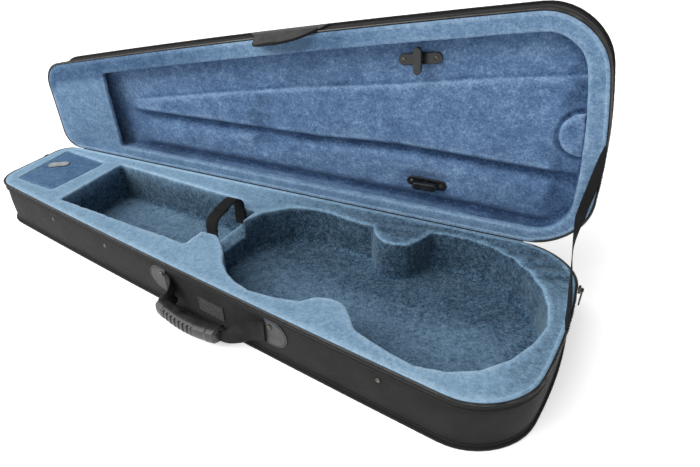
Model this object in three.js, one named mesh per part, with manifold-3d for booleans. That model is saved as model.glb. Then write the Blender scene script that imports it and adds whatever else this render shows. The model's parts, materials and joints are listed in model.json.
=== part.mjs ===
// A shaped soft case for a full-size violin: a fabric-covered tray and lid with a zip between them,
// a plush bed moulded to the instrument, and the fittings that close, carry and hold.
//
// Millimetres, +Z up. The plan is drawn with X along the hinge, from the narrow end to the wide
// end, and Y = 0 at the hinge side, so the front wall with the handle lies at negative Y. The whole
// case is then moved so that the origin is under the middle of the base. Lid parts are drawn with
// the lid shut, h being the height above the parting plane, and the lid group is turned open.

import * as THREE from 'three';
import { mergeVertices } from 'three/addons/utils/BufferGeometryUtils.js';
import Module from 'manifold-3d';

const wasm = await Module();
wasm.setup();

// ---------------------------------------------------------------- driving dimensions

const LENGTH = 766; // between the middles of the two ends, before the wide end bows out
const NARROW_WIDTH = 122.6;
const WIDE_WIDTH = 267.8;
const FRONT_BOW = 4.6; // how far the front wall bows out at mid-length
const END_BOW = 15.2; // how far the wide end bows out
const NARROW_SKEW = 4.7; // the narrow end leans: its back corner is this much further in
const WIDE_SKEW = 14.8; // the wide end leans the other way
const CORNER_RADII = [24, 32, 56, 54]; // narrow back, narrow front, wide front, wide back
const ARC_STEPS = 8; // facets in a corner
const SIDE_STEPS = [1, 8, 6, 1]; // and along the side after it, more where it bows

const BASE_DEPTH = 64; // height of the parting plane
const LID_DEPTH = 41.5;
const OPEN_ANGLE = 93;
const HINGE_Y = 1.8; // the cloth hinge bends just behind the back wall
const HINGE_DROP = 1; // and just under the parting plane
const ORIGIN_Y = 97.5; // from the hinge side to the row's origin

const WALL = 3.7; // board, foam and cover together
const FLOOR = 4;
const GAP = 0.3; // clearance between pieces that touch
const RIM_SETBACK = 2.5; // the shells stop this far short of the parting plane
const PIPING = 3.7; // how far the piping stands proud
const PIPING_HEIGHT = 5;
const TAPE = 1.5; // outer face of the zip tape
const TAPE_WIDTH = 6;
const TEETH = 2.4;
const HINGE_TAPE_WIDTH = 13;

const PAD = 6; // plush floor pad
const BED_TOP = BASE_DEPTH - 0.5;
const BED_FLOOR = FLOOR + GAP + PAD;
const RECESS_INSET = 20; // plush band round the lid's recess
const RECESS_BACK = 5; // the band is this much narrower along the hinge
const RECESS_DEPTH = 24;

// ---------------------------------------------------------------- materials

function finish(color, roughness, metalness = 0) {
  return new THREE.MeshStandardMaterial({ color, roughness, metalness });
}

const NYLON = finish(0x35363a, 0.85);
const BINDING = finish(0x1d1e20, 0.7);
const COIL = finish(0x141416, 0.45);
const PLUSH_LIGHT = finish(0x7d9fbd, 0.95);
const PLUSH_DEEP = finish(0x4f6f95, 0.95);
const WEBBING = finish(0x18191b, 0.8);
const VINYL = finish(0x4a4b4e, 0.55);
const HOOKS = finish(0x232326, 0.9);
const GRIP_PLASTIC = finish(0x2b2c2f, 0.4);
const CLIP_PLASTIC = finish(0x101113, 0.3);
const STEEL = finish(0x9a9a98, 0.35, 1);
const TAB_VINYL = finish(0x8d8f8c, 0.5);

// ---------------------------------------------------------------- solids

function prism(shape, low, high, divisions = 12) {
  const depth = high - low;
  const body = new THREE.ExtrudeGeometry(shape, { depth, bevelEnabled: false, curveSegments: divisions });
  return body.translate(0, 0, low);
}

function welded(geometry) {
  const plain = geometry.clone();
  plain.deleteAttribute('normal');
  plain.deleteAttribute('uv');
  return mergeVertices(plain, 1e-4);
}

function toSolid(geometry) {
  const shell = welded(geometry);
  const vertProperties = new Float32Array(shell.attributes.position.array);
  const triVerts = new Uint32Array(shell.index.array);
  return new wasm.Manifold(new wasm.Mesh({ numProp: 3, vertProperties, triVerts }));
}

function toGeometry(solid) {
  const mesh = solid.getMesh();
  const geometry = new THREE.BufferGeometry();
  geometry.setAttribute('position', new THREE.BufferAttribute(new Float32Array(mesh.vertProperties), 3));
  geometry.setIndex(new THREE.BufferAttribute(new Uint32Array(mesh.triVerts), 1));
  geometry.computeVertexNormals();
  return geometry;
}

function cut(body, ...tools) {
  return toGeometry(tools.reduce((solid, tool) => solid.subtract(toSolid(tool)), toSolid(body)));
}

function join(...bodies) {
  return toGeometry(bodies.slice(1).reduce((solid, next) => solid.add(toSolid(next)), toSolid(bodies[0])));
}

function common(a, b) {
  return toGeometry(toSolid(a).intersect(toSolid(b)));
}

function block(lowX, highX, lowY, highY, lowZ, highZ) {
  const box = new THREE.BoxGeometry(highX - lowX, highY - lowY, highZ - lowZ);
  return box.translate((lowX + highX) / 2, (lowY + highY) / 2, (lowZ + highZ) / 2);
}

// A closed body through a row of rings, each a list with the same number of points.
function loft(rings) {
  const count = rings[0].length;
  const positions = rings.flat().flatMap((p) => [p.x, p.y, p.z]);
  const index = [];
  for (let i = 0; i + 1 < rings.length; i += 1) {
    for (let j = 0; j < count; j += 1) {
      const a = i * count + j;
      const b = i * count + ((j + 1) % count);
      index.push(a, b, b + count, a, b + count, a + count);
    }
  }
  const last = (rings.length - 1) * count;
  for (let j = 1; j + 1 < count; j += 1) {
    index.push(0, j + 1, j, last, last + j, last + j + 1);
  }
  const geometry = new THREE.BufferGeometry();
  geometry.setAttribute('position', new THREE.Float32BufferAttribute(positions, 3));
  geometry.setIndex(index);
  geometry.computeVertexNormals();
  return geometry;
}

// A flat band: each station gives its centre, the direction of its width, and the width.
function band(stations, thickness) {
  const rings = stations.map(({ at, across, width }, i) => {
    const before = stations[Math.max(i - 1, 0)].at;
    const after = stations[Math.min(i + 1, stations.length - 1)].at;
    const along = after.clone().sub(before).normalize();
    const side = across.clone().addScaledVector(along, -across.dot(along)).normalize();
    const face = along.clone().cross(side);
    return [[1, 1], [-1, 1], [-1, -1], [1, -1]].map(([s, f]) =>
      at.clone().addScaledVector(side, (s * width) / 2).addScaledVector(face, (f * thickness) / 2));
  });
  return loft(rings);
}

function vec(x, y, z) {
  return new THREE.Vector3(x, y, z);
}

function polygon(points) {
  return new THREE.Shape(points.map(([x, y]) => new THREE.Vector2(x, y)));
}

// A straight slot with round ends, centred on the origin along X.
function slot(length, width) {
  const half = (length - width) / 2;
  const shape = new THREE.Shape();
  shape.absarc(half, 0, width / 2, -Math.PI / 2, Math.PI / 2);
  shape.absarc(-half, 0, width / 2, Math.PI / 2, (3 * Math.PI) / 2);
  return shape;
}

// ---------------------------------------------------------------- the case's plan

function widthAt(x) {
  return NARROW_WIDTH + ((WIDE_WIDTH - NARROW_WIDTH) * x) / LENGTH;
}

// Bows the front wall and the wide end outwards.
function bowed(point) {
  const s = THREE.MathUtils.clamp(point.x / LENGTH, 0, 1);
  const f = THREE.MathUtils.clamp(-point.y / widthAt(s * LENGTH), 0, 1);
  const endShare = Math.max(2 * s - 1, 0) ** 2;
  point.y -= f * FRONT_BOW * 4 * s * (1 - s);
  point.x += END_BOW * 4 * f * (1 - f) * endShare;
  return point;
}

// One rounded corner of the plan, as points along its arc.
function cornerArc(corners, i, inset) {
  const before = corners[i].clone().sub(corners[(i + 3) % 4]).normalize();
  const after = corners[(i + 1) % 4].clone().sub(corners[i]).normalize();
  const inward = [before, after].map((side) => new THREE.Vector2(-side.y, side.x));
  const towardsCentre = inward[0].clone().add(inward[1]).divideScalar(1 + inward[0].dot(inward[1]));
  const centre = corners[i].clone().addScaledVector(towardsCentre, CORNER_RADII[i]);
  const start = Math.atan2(-inward[0].y, -inward[0].x);
  const turn = Math.acos(before.dot(after));
  const radius = CORNER_RADII[i] - inset;
  return Array.from({ length: ARC_STEPS + 1 }, (_, k) => {
    const angle = start + (turn * k) / ARC_STEPS;
    return new THREE.Vector2(Math.cos(angle), Math.sin(angle)).multiplyScalar(radius).add(centre);
  });
}

// The plan's outline, moved in by `inset`: four rounded corners joined by sides, then bowed.
function outline(inset) {
  const corners = [
    new THREE.Vector2(NARROW_SKEW, 0),
    new THREE.Vector2(-NARROW_SKEW, -NARROW_WIDTH),
    new THREE.Vector2(LENGTH - WIDE_SKEW, -WIDE_WIDTH),
    new THREE.Vector2(LENGTH + WIDE_SKEW, 0),
  ];
  const arcs = corners.map((_, i) => cornerArc(corners, i, inset));
  const points = arcs.flatMap((arc, i) => {
    const from = arc[ARC_STEPS];
    const to = arcs[(i + 1) % 4][0];
    const steps = SIDE_STEPS[i];
    const between = Array.from({ length: steps - 1 }, (_, k) => from.clone().lerp(to, (k + 1) / steps));
    return [...arc, ...between];
  });
  return points.map(bowed);
}

function plan(inset) {
  return new THREE.Shape(outline(inset));
}

function ring(outer, inner, low, high) {
  const shape = plan(outer);
  shape.holes.push(new THREE.Path(outline(inner)));
  return prism(shape, low, high);
}

// A ring with a stretch left out along the hinge side, where the zip doesn't run.
const ZIP_ENDS = [32, LENGTH - 42];
function zipRing(outer, inner, low, high) {
  return cut(ring(outer, inner, low, high), block(...ZIP_ENDS, -1.5, PIPING + 1, low - 1, high + 1));
}

// ---------------------------------------------------------------- the scene graph

const violinCase = new THREE.Group();
violinCase.position.set(-LENGTH / 2, ORIGIN_Y, 0);

const lid = new THREE.Group();
lid.position.set(0, HINGE_Y, BASE_DEPTH - HINGE_DROP);
lid.rotation.x = THREE.MathUtils.degToRad(-OPEN_ANGLE);
violinCase.add(lid);

const lidParts = new THREE.Group(); // inside it, h = 0 is the parting plane
lidParts.position.set(0, -HINGE_Y, HINGE_DROP);
lid.add(lidParts);

function add(parent, name, geometry, material) {
  const mesh = new THREE.Mesh(geometry, material);
  mesh.name = name;
  parent.add(mesh);
  return mesh;
}

// The point of the front wall at plan position x.
function frontWall(x) {
  const slope = (WIDE_WIDTH - NARROW_WIDTH) / (LENGTH - WIDE_SKEW + NARROW_SKEW);
  return bowed(new THREE.Vector2(x, -NARROW_WIDTH - slope * (x + NARROW_SKEW)));
}

// A group on the front wall at plan position x: X runs along the wall, Z outwards, Y up.
function onFrontWall(parent, x, height) {
  const here = frontWall(x);
  const ahead = frontWall(x + 1);
  const wall = new THREE.Group();
  wall.position.set(here.x, here.y, height);
  const along = vec(ahead.x - here.x, ahead.y - here.y, 0).normalize();
  const up = vec(0, 0, 1);
  wall.setRotationFromMatrix(new THREE.Matrix4().makeBasis(along, up, along.clone().cross(up)));
  parent.add(wall);
  return wall;
}

// ---------------------------------------------------------------- base shell and zip

function addBaseShell() {
  const outside = prism(plan(0), 0, BASE_DEPTH - RIM_SETBACK);
  const inside = prism(plan(WALL), FLOOR, BASE_DEPTH);
  add(violinCase, 'base_shell', cut(outside, inside), NYLON);
  add(violinCase, 'base_piping', ring(-PIPING, -GAP, 0, PIPING_HEIGHT), BINDING);
  const tapeTop = BASE_DEPTH - RIM_SETBACK;
  add(violinCase, 'base_zip_tape', zipRing(-TAPE, -GAP, tapeTop - TAPE_WIDTH, tapeTop), BINDING);
  add(violinCase, 'base_zip_teeth', zipRing(-TEETH, -GAP, tapeTop + GAP, BASE_DEPTH - 0.5), COIL);
  const strip = block(ZIP_ENDS[0] + 4, ZIP_ENDS[1] - 4, GAP, 1.4, tapeTop - HINGE_TAPE_WIDTH, tapeTop - 1.5);
  add(violinCase, 'base_hinge_tape', strip, BINDING);
}

function addLidShell() {
  const outside = prism(plan(0), RIM_SETBACK, LID_DEPTH);
  const inside = prism(plan(WALL), 0, LID_DEPTH - FLOOR);
  add(lidParts, 'lid_shell', cut(outside, inside), NYLON);
  add(lidParts, 'lid_piping', ring(-PIPING, -GAP, LID_DEPTH - PIPING_HEIGHT, LID_DEPTH), BINDING);
  const tapeLow = RIM_SETBACK;
  add(lidParts, 'lid_zip_tape', zipRing(-TAPE, -GAP, tapeLow, tapeLow + TAPE_WIDTH), BINDING);
  add(lidParts, 'lid_zip_teeth', zipRing(-TEETH, -GAP, 0.5, tapeLow - GAP), COIL);
  const strip = block(ZIP_ENDS[0] + 4, ZIP_ENDS[1] - 4, GAP, 1.4, tapeLow + 1.5, tapeLow + HINGE_TAPE_WIDTH);
  add(lidParts, 'lid_hinge_tape', strip, BINDING);
}

// ---------------------------------------------------------------- the violin bed

// Corners of the accessory box, from its back corner at the narrow end.
const BOX_CORNERS = [[18.5, -12], [19.2, -107], [51, -111.5], [92, -115.5], [102, -24]];
// The well for the scroll and pegs, and the slot that the neck lies in.
const WELL_CORNERS = [[130, -19], [124, -130], [343, -153.5], [347, -123.5], [376, -123.5], [386, -57.5],
  [356, -57.5], [353, -40]];

function spline(points) {
  return new THREE.SplineCurve(points.map(([x, y]) => new THREE.Vector2(x, y)));
}

// The hollow for the body: the front side towards the wide end, then the back side home again.
function bodyHollow() {
  const upperFront = [[366, -120], [392, -144], [410, -171], [436, -191], [470, -200.5], [519, -195]];
  const waistFront = [[519, -195], [532, -182.5], [549, -178.5], [567, -184], [588, -212]];
  const lowerFront = [[588, -212], [618, -223.5], [662, -235], [708, -221], [745, -183], [763, -134]];
  const lowerBack = [[763, -134], [756, -88], [731, -50], [694, -24], [652, -15.5], [613, -20]];
  const waistBack = [[613, -20], [604, -40], [590, -56], [566, -59], [550, -50], [541, -33]];
  const upperBack = [[541, -33], [508, -31], [470, -24.5], [430, -30], [405, -50], [386, -66]];
  const sides = [upperFront, waistFront, lowerFront, lowerBack, waistBack, upperBack];
  return new THREE.Shape(sides.flatMap((side) => spline(side).getPoints(8).slice(0, -1)));
}

// Moves a convex polygon's corners in by `inset`.
function shrunk(corners, inset) {
  const points = corners.map(([x, y]) => new THREE.Vector2(x, y));
  return points.map((point, i) => {
    const before = point.clone().sub(points[(i + points.length - 1) % points.length]).normalize();
    const after = points[(i + 1) % points.length].clone().sub(point).normalize();
    const a = new THREE.Vector2(-before.y, before.x);
    const b = new THREE.Vector2(-after.y, after.x);
    return point.clone().addScaledVector(a.clone().add(b), inset / (1 + a.dot(b)));
  });
}

const BOX_LID_TOP = BED_TOP - 1.5;
const BOX_LID_THICKNESS = 4;

function addBed() {
  add(violinCase, 'bed_floor', prism(plan(WALL + GAP), FLOOR + GAP, BED_FLOOR), PLUSH_LIGHT);

  const low = BED_FLOOR + GAP;
  const ledge = BOX_LID_TOP - BOX_LID_THICKNESS - GAP;
  const foam = cut(
    prism(plan(WALL + GAP), low, BED_TOP),
    prism(polygon(WELL_CORNERS), low - 1, BED_TOP + 1),
    prism(bodyHollow(), low - 1, BED_TOP + 1),
    prism(new THREE.Shape(shrunk(BOX_CORNERS, 5)), low - 1, BED_TOP + 1),
    prism(polygon(BOX_CORNERS), ledge, BED_TOP + 1),
  );

  // The foam is glued up from three blocks. They meet beside the well and at the wide end.
  const [wellBack, wellFront] = WELL_CORNERS;
  const lean = (wellBack[0] - wellFront[0]) / (wellBack[1] - wellFront[1]);
  const seamBack = wellBack[0] - lean * wellBack[1] + GAP / 2;
  const seamFront = wellFront[0] + lean * (-NARROW_WIDTH * 1.5 - wellFront[1]) + GAP / 2;
  const seamFrontY = -NARROW_WIDTH * 1.5;
  const middleY = -134;
  const far = LENGTH + 40;
  const narrowZone = polygon([[-20, 10], [-20, seamFrontY], [seamFront - GAP, seamFrontY],
    [seamBack - GAP, 10]]);
  const frontZone = polygon([[seamFront, seamFrontY - 120], [far, seamFrontY - 120], [far, middleY - GAP],
    [440, middleY - GAP], [440, -100], [seamFront + 6, -100], [seamFront, seamFrontY]]);
  const backZone = polygon([[seamBack, 10], [seamBack - 4, -85], [445, -85], [445, middleY],
    [far, middleY], [far, 10]]);
  const zones = { bed_narrow_end: narrowZone, bed_front: frontZone, bed_back: backZone };
  for (const [name, zone] of Object.entries(zones)) {
    add(violinCase, name, common(foam, prism(zone, low - 2, BED_TOP + 2)), PLUSH_LIGHT);
  }

  const rest = polygon([[352, -123], [374, -123], [384, -58.5], [361, -58.5]]);
  add(violinCase, 'neck_rest', prism(rest, low, low + 26), PLUSH_LIGHT);
}

// ---------------------------------------------------------------- accessory box lid

function addBoxLid() {
  const board = new THREE.Shape(shrunk(BOX_CORNERS, 0.7));
  add(violinCase, 'box_lid', prism(board, BOX_LID_TOP - BOX_LID_THICKNESS, BOX_LID_TOP), PLUSH_DEEP);
  const tab = add(violinCase, 'box_lid_tab', prism(slot(30, 13), 0, 1.2, 5), TAB_VINYL);
  tab.position.set(43.5, -55, BOX_LID_TOP + GAP);
  tab.rotation.z = THREE.MathUtils.degToRad(32);
}

// ---------------------------------------------------------------- neck strap

const STRAP_X = 362;
const STRAP_WIDTH = 16;

// Each half rises from its anchor on the slot's side and arches over the neck.
function strapHalf(name, anchorName, wallY, side, crown, length) {
  const rise = [[2.2, 1], [2.2, 8], [6.5, 15.5], [14.5, crown - 0.8], [24, crown], [length, crown]];
  const stations = rise.map(([reach, height]) => ({
    at: vec(STRAP_X, wallY + side * reach, BASE_DEPTH + height),
    across: vec(1, 0, 0),
    width: STRAP_WIDTH,
  }));
  add(violinCase, name, band(stations, 2), WEBBING);
  const inner = wallY + side * 0.4;
  const outer = wallY + side * 2.4;
  const anchor = block(STRAP_X - STRAP_WIDTH / 2, STRAP_X + STRAP_WIDTH / 2,
    Math.min(inner, outer), Math.max(inner, outer), 38.5, BASE_DEPTH + 0.4);
  add(violinCase, anchorName, anchor, WEBBING);
}

// ---------------------------------------------------------------- front wall fittings

function dShape(width, height) {
  const shape = new THREE.Shape();
  shape.moveTo(0, -height / 2);
  shape.lineTo(0, height / 2);
  shape.lineTo(-width * 0.35, height / 2);
  shape.bezierCurveTo(-width * 0.8, height * 0.48, -width, height * 0.22, -width, 0);
  shape.bezierCurveTo(-width, -height * 0.22, -width * 0.8, -height * 0.48, -width * 0.35, -height / 2);
  shape.closePath();
  return shape;
}

function rivetHead(radius, height) {
  const profile = [[0, 0], [radius, 0], [radius, height * 0.45], [radius * 0.6, height], [0, height]];
  const head = new THREE.LatheGeometry(profile.map(([r, y]) => new THREE.Vector2(r, y)), 12);
  return head.rotateX(Math.PI / 2);
}

const PATCH_X = [345, 492]; // where the two straps come out from under their patches
const PATCH_HEIGHT = 36.5;
const PATCH_SIZE = [29, 36];
const PATCH_THICKNESS = 1.4;

function addFrontFittings() {
  PATCH_X.forEach((x, i) => {
    const side = ['left', 'right'][i];
    const wall = onFrontWall(violinCase, x, PATCH_HEIGHT);
    const patch = prism(dShape(...PATCH_SIZE), GAP, GAP + PATCH_THICKNESS, 5);
    const rivet = rivetHead(3, 1.5);
    rivet.translate(-7, 8.5, PATCH_THICKNESS + 2 * GAP);
    if (i === 1) {
      [patch, rivet].forEach((piece) => piece.rotateZ(Math.PI));
      rivet.translate(0, 17, 0);
    }
    add(wall, `handle_patch_${side}`, patch, VINYL);
    add(wall, `handle_rivet_${side}`, rivet, STEEL);
  });

  const hooks = onFrontWall(violinCase, 413.5, 27.5);
  add(hooks, 'hook_patch', prism(polygon([[-19.5, -10.5], [19.5, -10.5], [19.5, 10.5], [-19.5, 10.5]]),
    GAP, 1.6), HOOKS);

  [[124, 42.5], [233, 42.5], [626, 42.5]].forEach(([x, height], i) => {
    const wall = onFrontWall(violinCase, x, height);
    add(wall, `wall_rivet_${i + 1}`, rivetHead(2.6, 1.2).translate(0, 0, GAP), STEEL);
  });
}

// ---------------------------------------------------------------- handle

// The handle's own frame stands on the wall midway between the patches: x along the wall, y up,
// z outwards. It swings about a line through both strap ends.
const HANDLE_X = (PATCH_X[0] + PATCH_X[1]) / 2;
const SWING_HEIGHT = 38;
const SWING_OUT = 6.4;
const GRIP_ENDS = [-70, 24];
const GRIP_RADII = [10.4, 10.2];
const GRIP_RIBS = 7;

// The grip bows away from the case between its ends.
function gripCentre(x) {
  const t = (x - GRIP_ENDS[0]) / (GRIP_ENDS[1] - GRIP_ENDS[0]);
  const bow = 4 * t * (1 - t);
  return vec(x, 17.3 - 4.2 * bow, 18.7 + 4.2 * bow);
}

function gripRing(x, scale) {
  const centre = gripCentre(x);
  const points = [];
  for (let k = 0; k < 10; k += 1) {
    const angle = (2 * Math.PI * k) / 10;
    const up = -Math.cos(angle) * GRIP_RADII[1] * scale;
    const out = -Math.sin(angle) * GRIP_RADII[0] * scale;
    points.push(vec(0, up, out).add(centre));
  }
  return points;
}

function addHandle() {
  const handle = onFrontWall(violinCase, HANDLE_X, 0);
  const rings = [gripRing(GRIP_ENDS[0], 0.75), gripRing(GRIP_ENDS[0] + 3, 0.95), gripRing(-48, 1)];
  const ribPitch = 5.4;
  for (let i = 0; i < GRIP_RIBS; i += 1) {
    const x = -42 + i * ribPitch;
    rings.push(gripRing(x, 0.84), gripRing(x + ribPitch * 0.3, 1.04), gripRing(x + ribPitch * 0.7, 1.04));
  }
  const end = GRIP_ENDS[1];
  rings.push(gripRing(-2, 0.9), gripRing(2, 1), gripRing(end - 3, 0.95), gripRing(end, 0.75));
  add(handle, 'handle_grip', loft(rings), GRIP_PLASTIC);

  const along = vec(1, 0, 0);
  const leftStrap = [
    { at: vec(-64, SWING_HEIGHT, SWING_OUT), across: along, width: 15 },
    { at: vec(-64.6, 33.5, 7.4), across: along, width: 15 },
    { at: vec(-74.5, 28.6, 10.8), across: along, width: 13 },
    { at: vec(-81, 20.5, 15.5), across: vec(0.7, 0.7, 0), width: 12 },
    { at: vec(-73, 16, 18.8), across: vec(0, 1, -0.3), width: 9 },
  ];
  const rightStrap = [
    { at: vec(64, SWING_HEIGHT, SWING_OUT), across: along, width: 15 },
    { at: vec(63.4, 33.5, 7.4), across: along, width: 15 },
    { at: vec(55, 26, 12), across: along, width: 15 },
    { at: vec(41, 18.5, 16.5), across: vec(0.6, 0.7, 0), width: 13 },
    { at: vec(26.5, 15, 19), across: vec(0, 1, -0.3), width: 9 },
  ];
  add(handle, 'handle_strap_left', band(leftStrap, 3), WEBBING);
  add(handle, 'handle_strap_right', band(rightStrap, 3), WEBBING);

  // The ends of the straps, sewn flat on the wall beside each patch.
  [-1, 1].forEach((side, i) => {
    const reach = [side * 73.2, side * 58].sort((a, b) => a - b);
    const root = block(reach[0] + GAP, reach[1] - GAP, 22, 52, 0.4, 2.2);
    add(handle, ['strap_root_left', 'strap_root_right'][i], root, WEBBING);
  });
}

// ---------------------------------------------------------------- zip sliders

const SLIDER_HEIGHT = BASE_DEPTH - 5.2;
const SLIDER_OUT = 3; // clear of the coil
const PULLER_PIN = 4.2;

// A slider on the base's tape: its body, and a puller that hangs from it. In their group Y points
// out of the case.
function addSlider(name, x, y, facing) {
  const group = new THREE.Group();
  group.position.set(x, y, SLIDER_HEIGHT);
  group.rotation.z = facing;
  violinCase.add(group);
  const body = prism(slot(11, 7.5), -2.6, 0, 4).rotateX(Math.PI / 2);
  const ear = block(-1.4, 1.4, 2.5, 5.6, -1.8, 1.8);
  const bore = new THREE.CylinderGeometry(0.95, 0.95, 8, 8).rotateZ(Math.PI / 2).translate(0, PULLER_PIN, 0);
  add(group, `zip_slider_${name}`, cut(join(body, ear), bore), STEEL);

  const plate = new THREE.Shape();
  plate.moveTo(-3.6, 0.9);
  plate.lineTo(-4, -17);
  plate.absarc(0, -17, 4, Math.PI, 2 * Math.PI);
  plate.lineTo(3.6, 0.9);
  plate.closePath();
  const window = block(-1.9, 1.9, -5, 2, -2, 2);
  const pin = new THREE.CylinderGeometry(0.55, 0.55, 5, 8).rotateZ(Math.PI / 2);
  const arms = cut(prism(plate, -0.7, 0.7, 5), window);
  const puller = join(arms.rotateX(Math.PI / 2), pin);
  add(group, `zip_puller_${name}`, puller.translate(0, PULLER_PIN, 0), STEEL);
}

// ---------------------------------------------------------------- lid lining and its fittings

const RECESS_START = 37; // the recess begins this far from the narrow end

function recessPrism(inset, start, low, high) {
  const wide = prism(plan(inset), low, high);
  const outline = join(wide, wide.clone().translate(0, RECESS_BACK, 0));
  return common(outline, block(start, LENGTH + 60, -WIDE_WIDTH - 60, 60, low - 1, high + 1));
}

// The pocket for the bow's tip closes the narrow end of the recess. Its free edge leans.
const POCKET_EDGE = [[105, -150], [117, 10]];

function addLidLining() {
  const high = LID_DEPTH - FLOOR - GAP;
  const bandBody = cut(prism(plan(WALL + GAP), 0.5, high),
    recessPrism(RECESS_INSET, RECESS_START, 0, high + 1));
  add(lidParts, 'lid_rim_pad', bandBody, PLUSH_LIGHT);
  add(lidParts, 'lid_panel', recessPrism(RECESS_INSET + GAP, RECESS_START + GAP, RECESS_DEPTH, high),
    PLUSH_DEEP);

  const zone = polygon([[0, 10], [0, -150], ...POCKET_EDGE]);
  const pocket = common(recessPrism(RECESS_INSET + GAP, RECESS_START + GAP, 0.8, 7.4), prism(zone, 0, 8));
  add(lidParts, 'bow_tip_pocket', pocket, PLUSH_LIGHT);

  const bump = new THREE.Shape();
  bump.moveTo(780, -157);
  bump.lineTo(757, -157);
  bump.absarc(757, -132, 25, -Math.PI / 2, Math.PI / 2, true);
  bump.lineTo(780, -107);
  bump.closePath();
  const top = RECESS_DEPTH - GAP;
  const recess = recessPrism(RECESS_INSET + GAP, RECESS_START, 0, top + 1);
  const frogPad = common(recess, prism(bump, top - 4, top, 10));
  add(lidParts, 'frog_pad', frogPad, PLUSH_LIGHT);
}

// A bow clip: a plate held by two screws, and a turning toggle that reaches over the bow.
function addBowClip(index, x, y, plateAngle, toggleAngle) {
  const clip = new THREE.Group();
  clip.position.set(x, y, RECESS_DEPTH - GAP);
  lidParts.add(clip);
  const plate = prism(slot(52, 13), -3.4, 0, 5).rotateZ(plateAngle);
  add(clip, `bow_clip_plate_${index}`, plate, CLIP_PLASTIC);
  [-1, 1].forEach((side, i) => {
    const screw = rivetHead(2.4, 1.1).rotateX(Math.PI).translate(side * 19, 0, -3.7).rotateZ(plateAngle);
    add(clip, `bow_clip_screw_${index}${'ab'[i]}`, screw, STEEL);
  });
  const arm = prism(slot(31, 9.5), -16.5, -10.5, 5);
  const post = new THREE.CylinderGeometry(4, 5, 7.5, 12).rotateX(Math.PI / 2).translate(0, 0, -7.5);
  add(clip, `bow_clip_toggle_${index}`, join(arm, post).rotateZ(toggleAngle), CLIP_PLASTIC);
}

// ---------------------------------------------------------------- the flap over the zip

const FLAP_DROOP = 25; // it droops past straight while the lid stands open
const FLAP_HINGE_OUT = 4.2;
const FLAP_HINGE_H = 3;
const FLAP_X = 408;

function addFlap() {
  const wall = onFrontWall(lidParts, FLAP_X, 0);
  const fixed = polygon([[-70, 35.5], [-43, 3.8], [45, 3.8], [42, 35.5]]);
  add(wall, 'flap_root', prism(fixed, TAPE + GAP, FLAP_HINGE_OUT - 0.2), VINYL);

  const hinge = new THREE.Group();
  hinge.position.set(0, FLAP_HINGE_H, FLAP_HINGE_OUT);
  hinge.rotation.x = THREE.MathUtils.degToRad(FLAP_DROOP);
  wall.add(hinge);
  const leaf = new THREE.Shape();
  leaf.moveTo(-43, 0);
  leaf.lineTo(-40, -14);
  leaf.quadraticCurveTo(-36, -27, -22, -29);
  leaf.quadraticCurveTo(2, -30, 20, -20);
  leaf.lineTo(45, 0);
  leaf.closePath();
  add(hinge, 'lid_flap', prism(leaf, 0, 1.6, 5), VINYL);
}

// ---------------------------------------------------------------- stay ribbon

// It runs from the lid's rim to the base's rim at the wide end, a little slack and half twisted.
function addStay() {
  const from = vec(776, -5.5, 188);
  const to = vec(778, -136, 74.5);
  const slack = vec(767, -34, 104);
  const route = new THREE.QuadraticBezierCurve3(from, slack, to);
  const stations = [];
  for (let i = 0; i <= 12; i += 1) {
    const t = i / 12;
    const along = route.getTangent(t);
    const edgeOn = vec(1, 0, 0).cross(along).normalize();
    const twist = THREE.MathUtils.degToRad(70) * Math.sin(Math.PI * Math.min(t * 1.6, 1));
    stations.push({ at: route.getPoint(t), across: edgeOn.applyAxisAngle(along, twist), width: 18 });
  }
  add(violinCase, 'stay_ribbon', band(stations, 1), WEBBING);
}

// ---------------------------------------------------------------- assembly

addBaseShell();
addLidShell();
addBed();
addBoxLid();
strapHalf('neck_strap_front', 'neck_anchor_front', -123.5, 1, 18, 30.4);
strapHalf('neck_strap_back', 'neck_anchor_back', -57.5, -1, 20.6, 35);
addFrontFittings();
addHandle();
const narrowLean = Math.atan((2 * NARROW_SKEW) / NARROW_WIDTH);
addSlider('narrow', 1.9 - SLIDER_OUT, -36, Math.PI / 2 - narrowLean);
addSlider('wide', 784.7 + SLIDER_OUT, -60, -Math.PI / 2);
addLidLining();
addBowClip(1, 569, -193, THREE.MathUtils.degToRad(-9), THREE.MathUtils.degToRad(86));
addBowClip(2, 590, -40, THREE.MathUtils.degToRad(1), THREE.MathUtils.degToRad(-3));
addFlap();
addStay();

export default violinCase;
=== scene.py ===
# Looks for the shaped violin case: nylon covers, plush linings, zip, handle and fittings.
# Metres, in the row's frame. Lid pieces are made with the lid shut and then turned open.

import json
import math

import bmesh
import bpy
import numpy as np
from mathutils import Matrix, Vector, kdtree, noise


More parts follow.
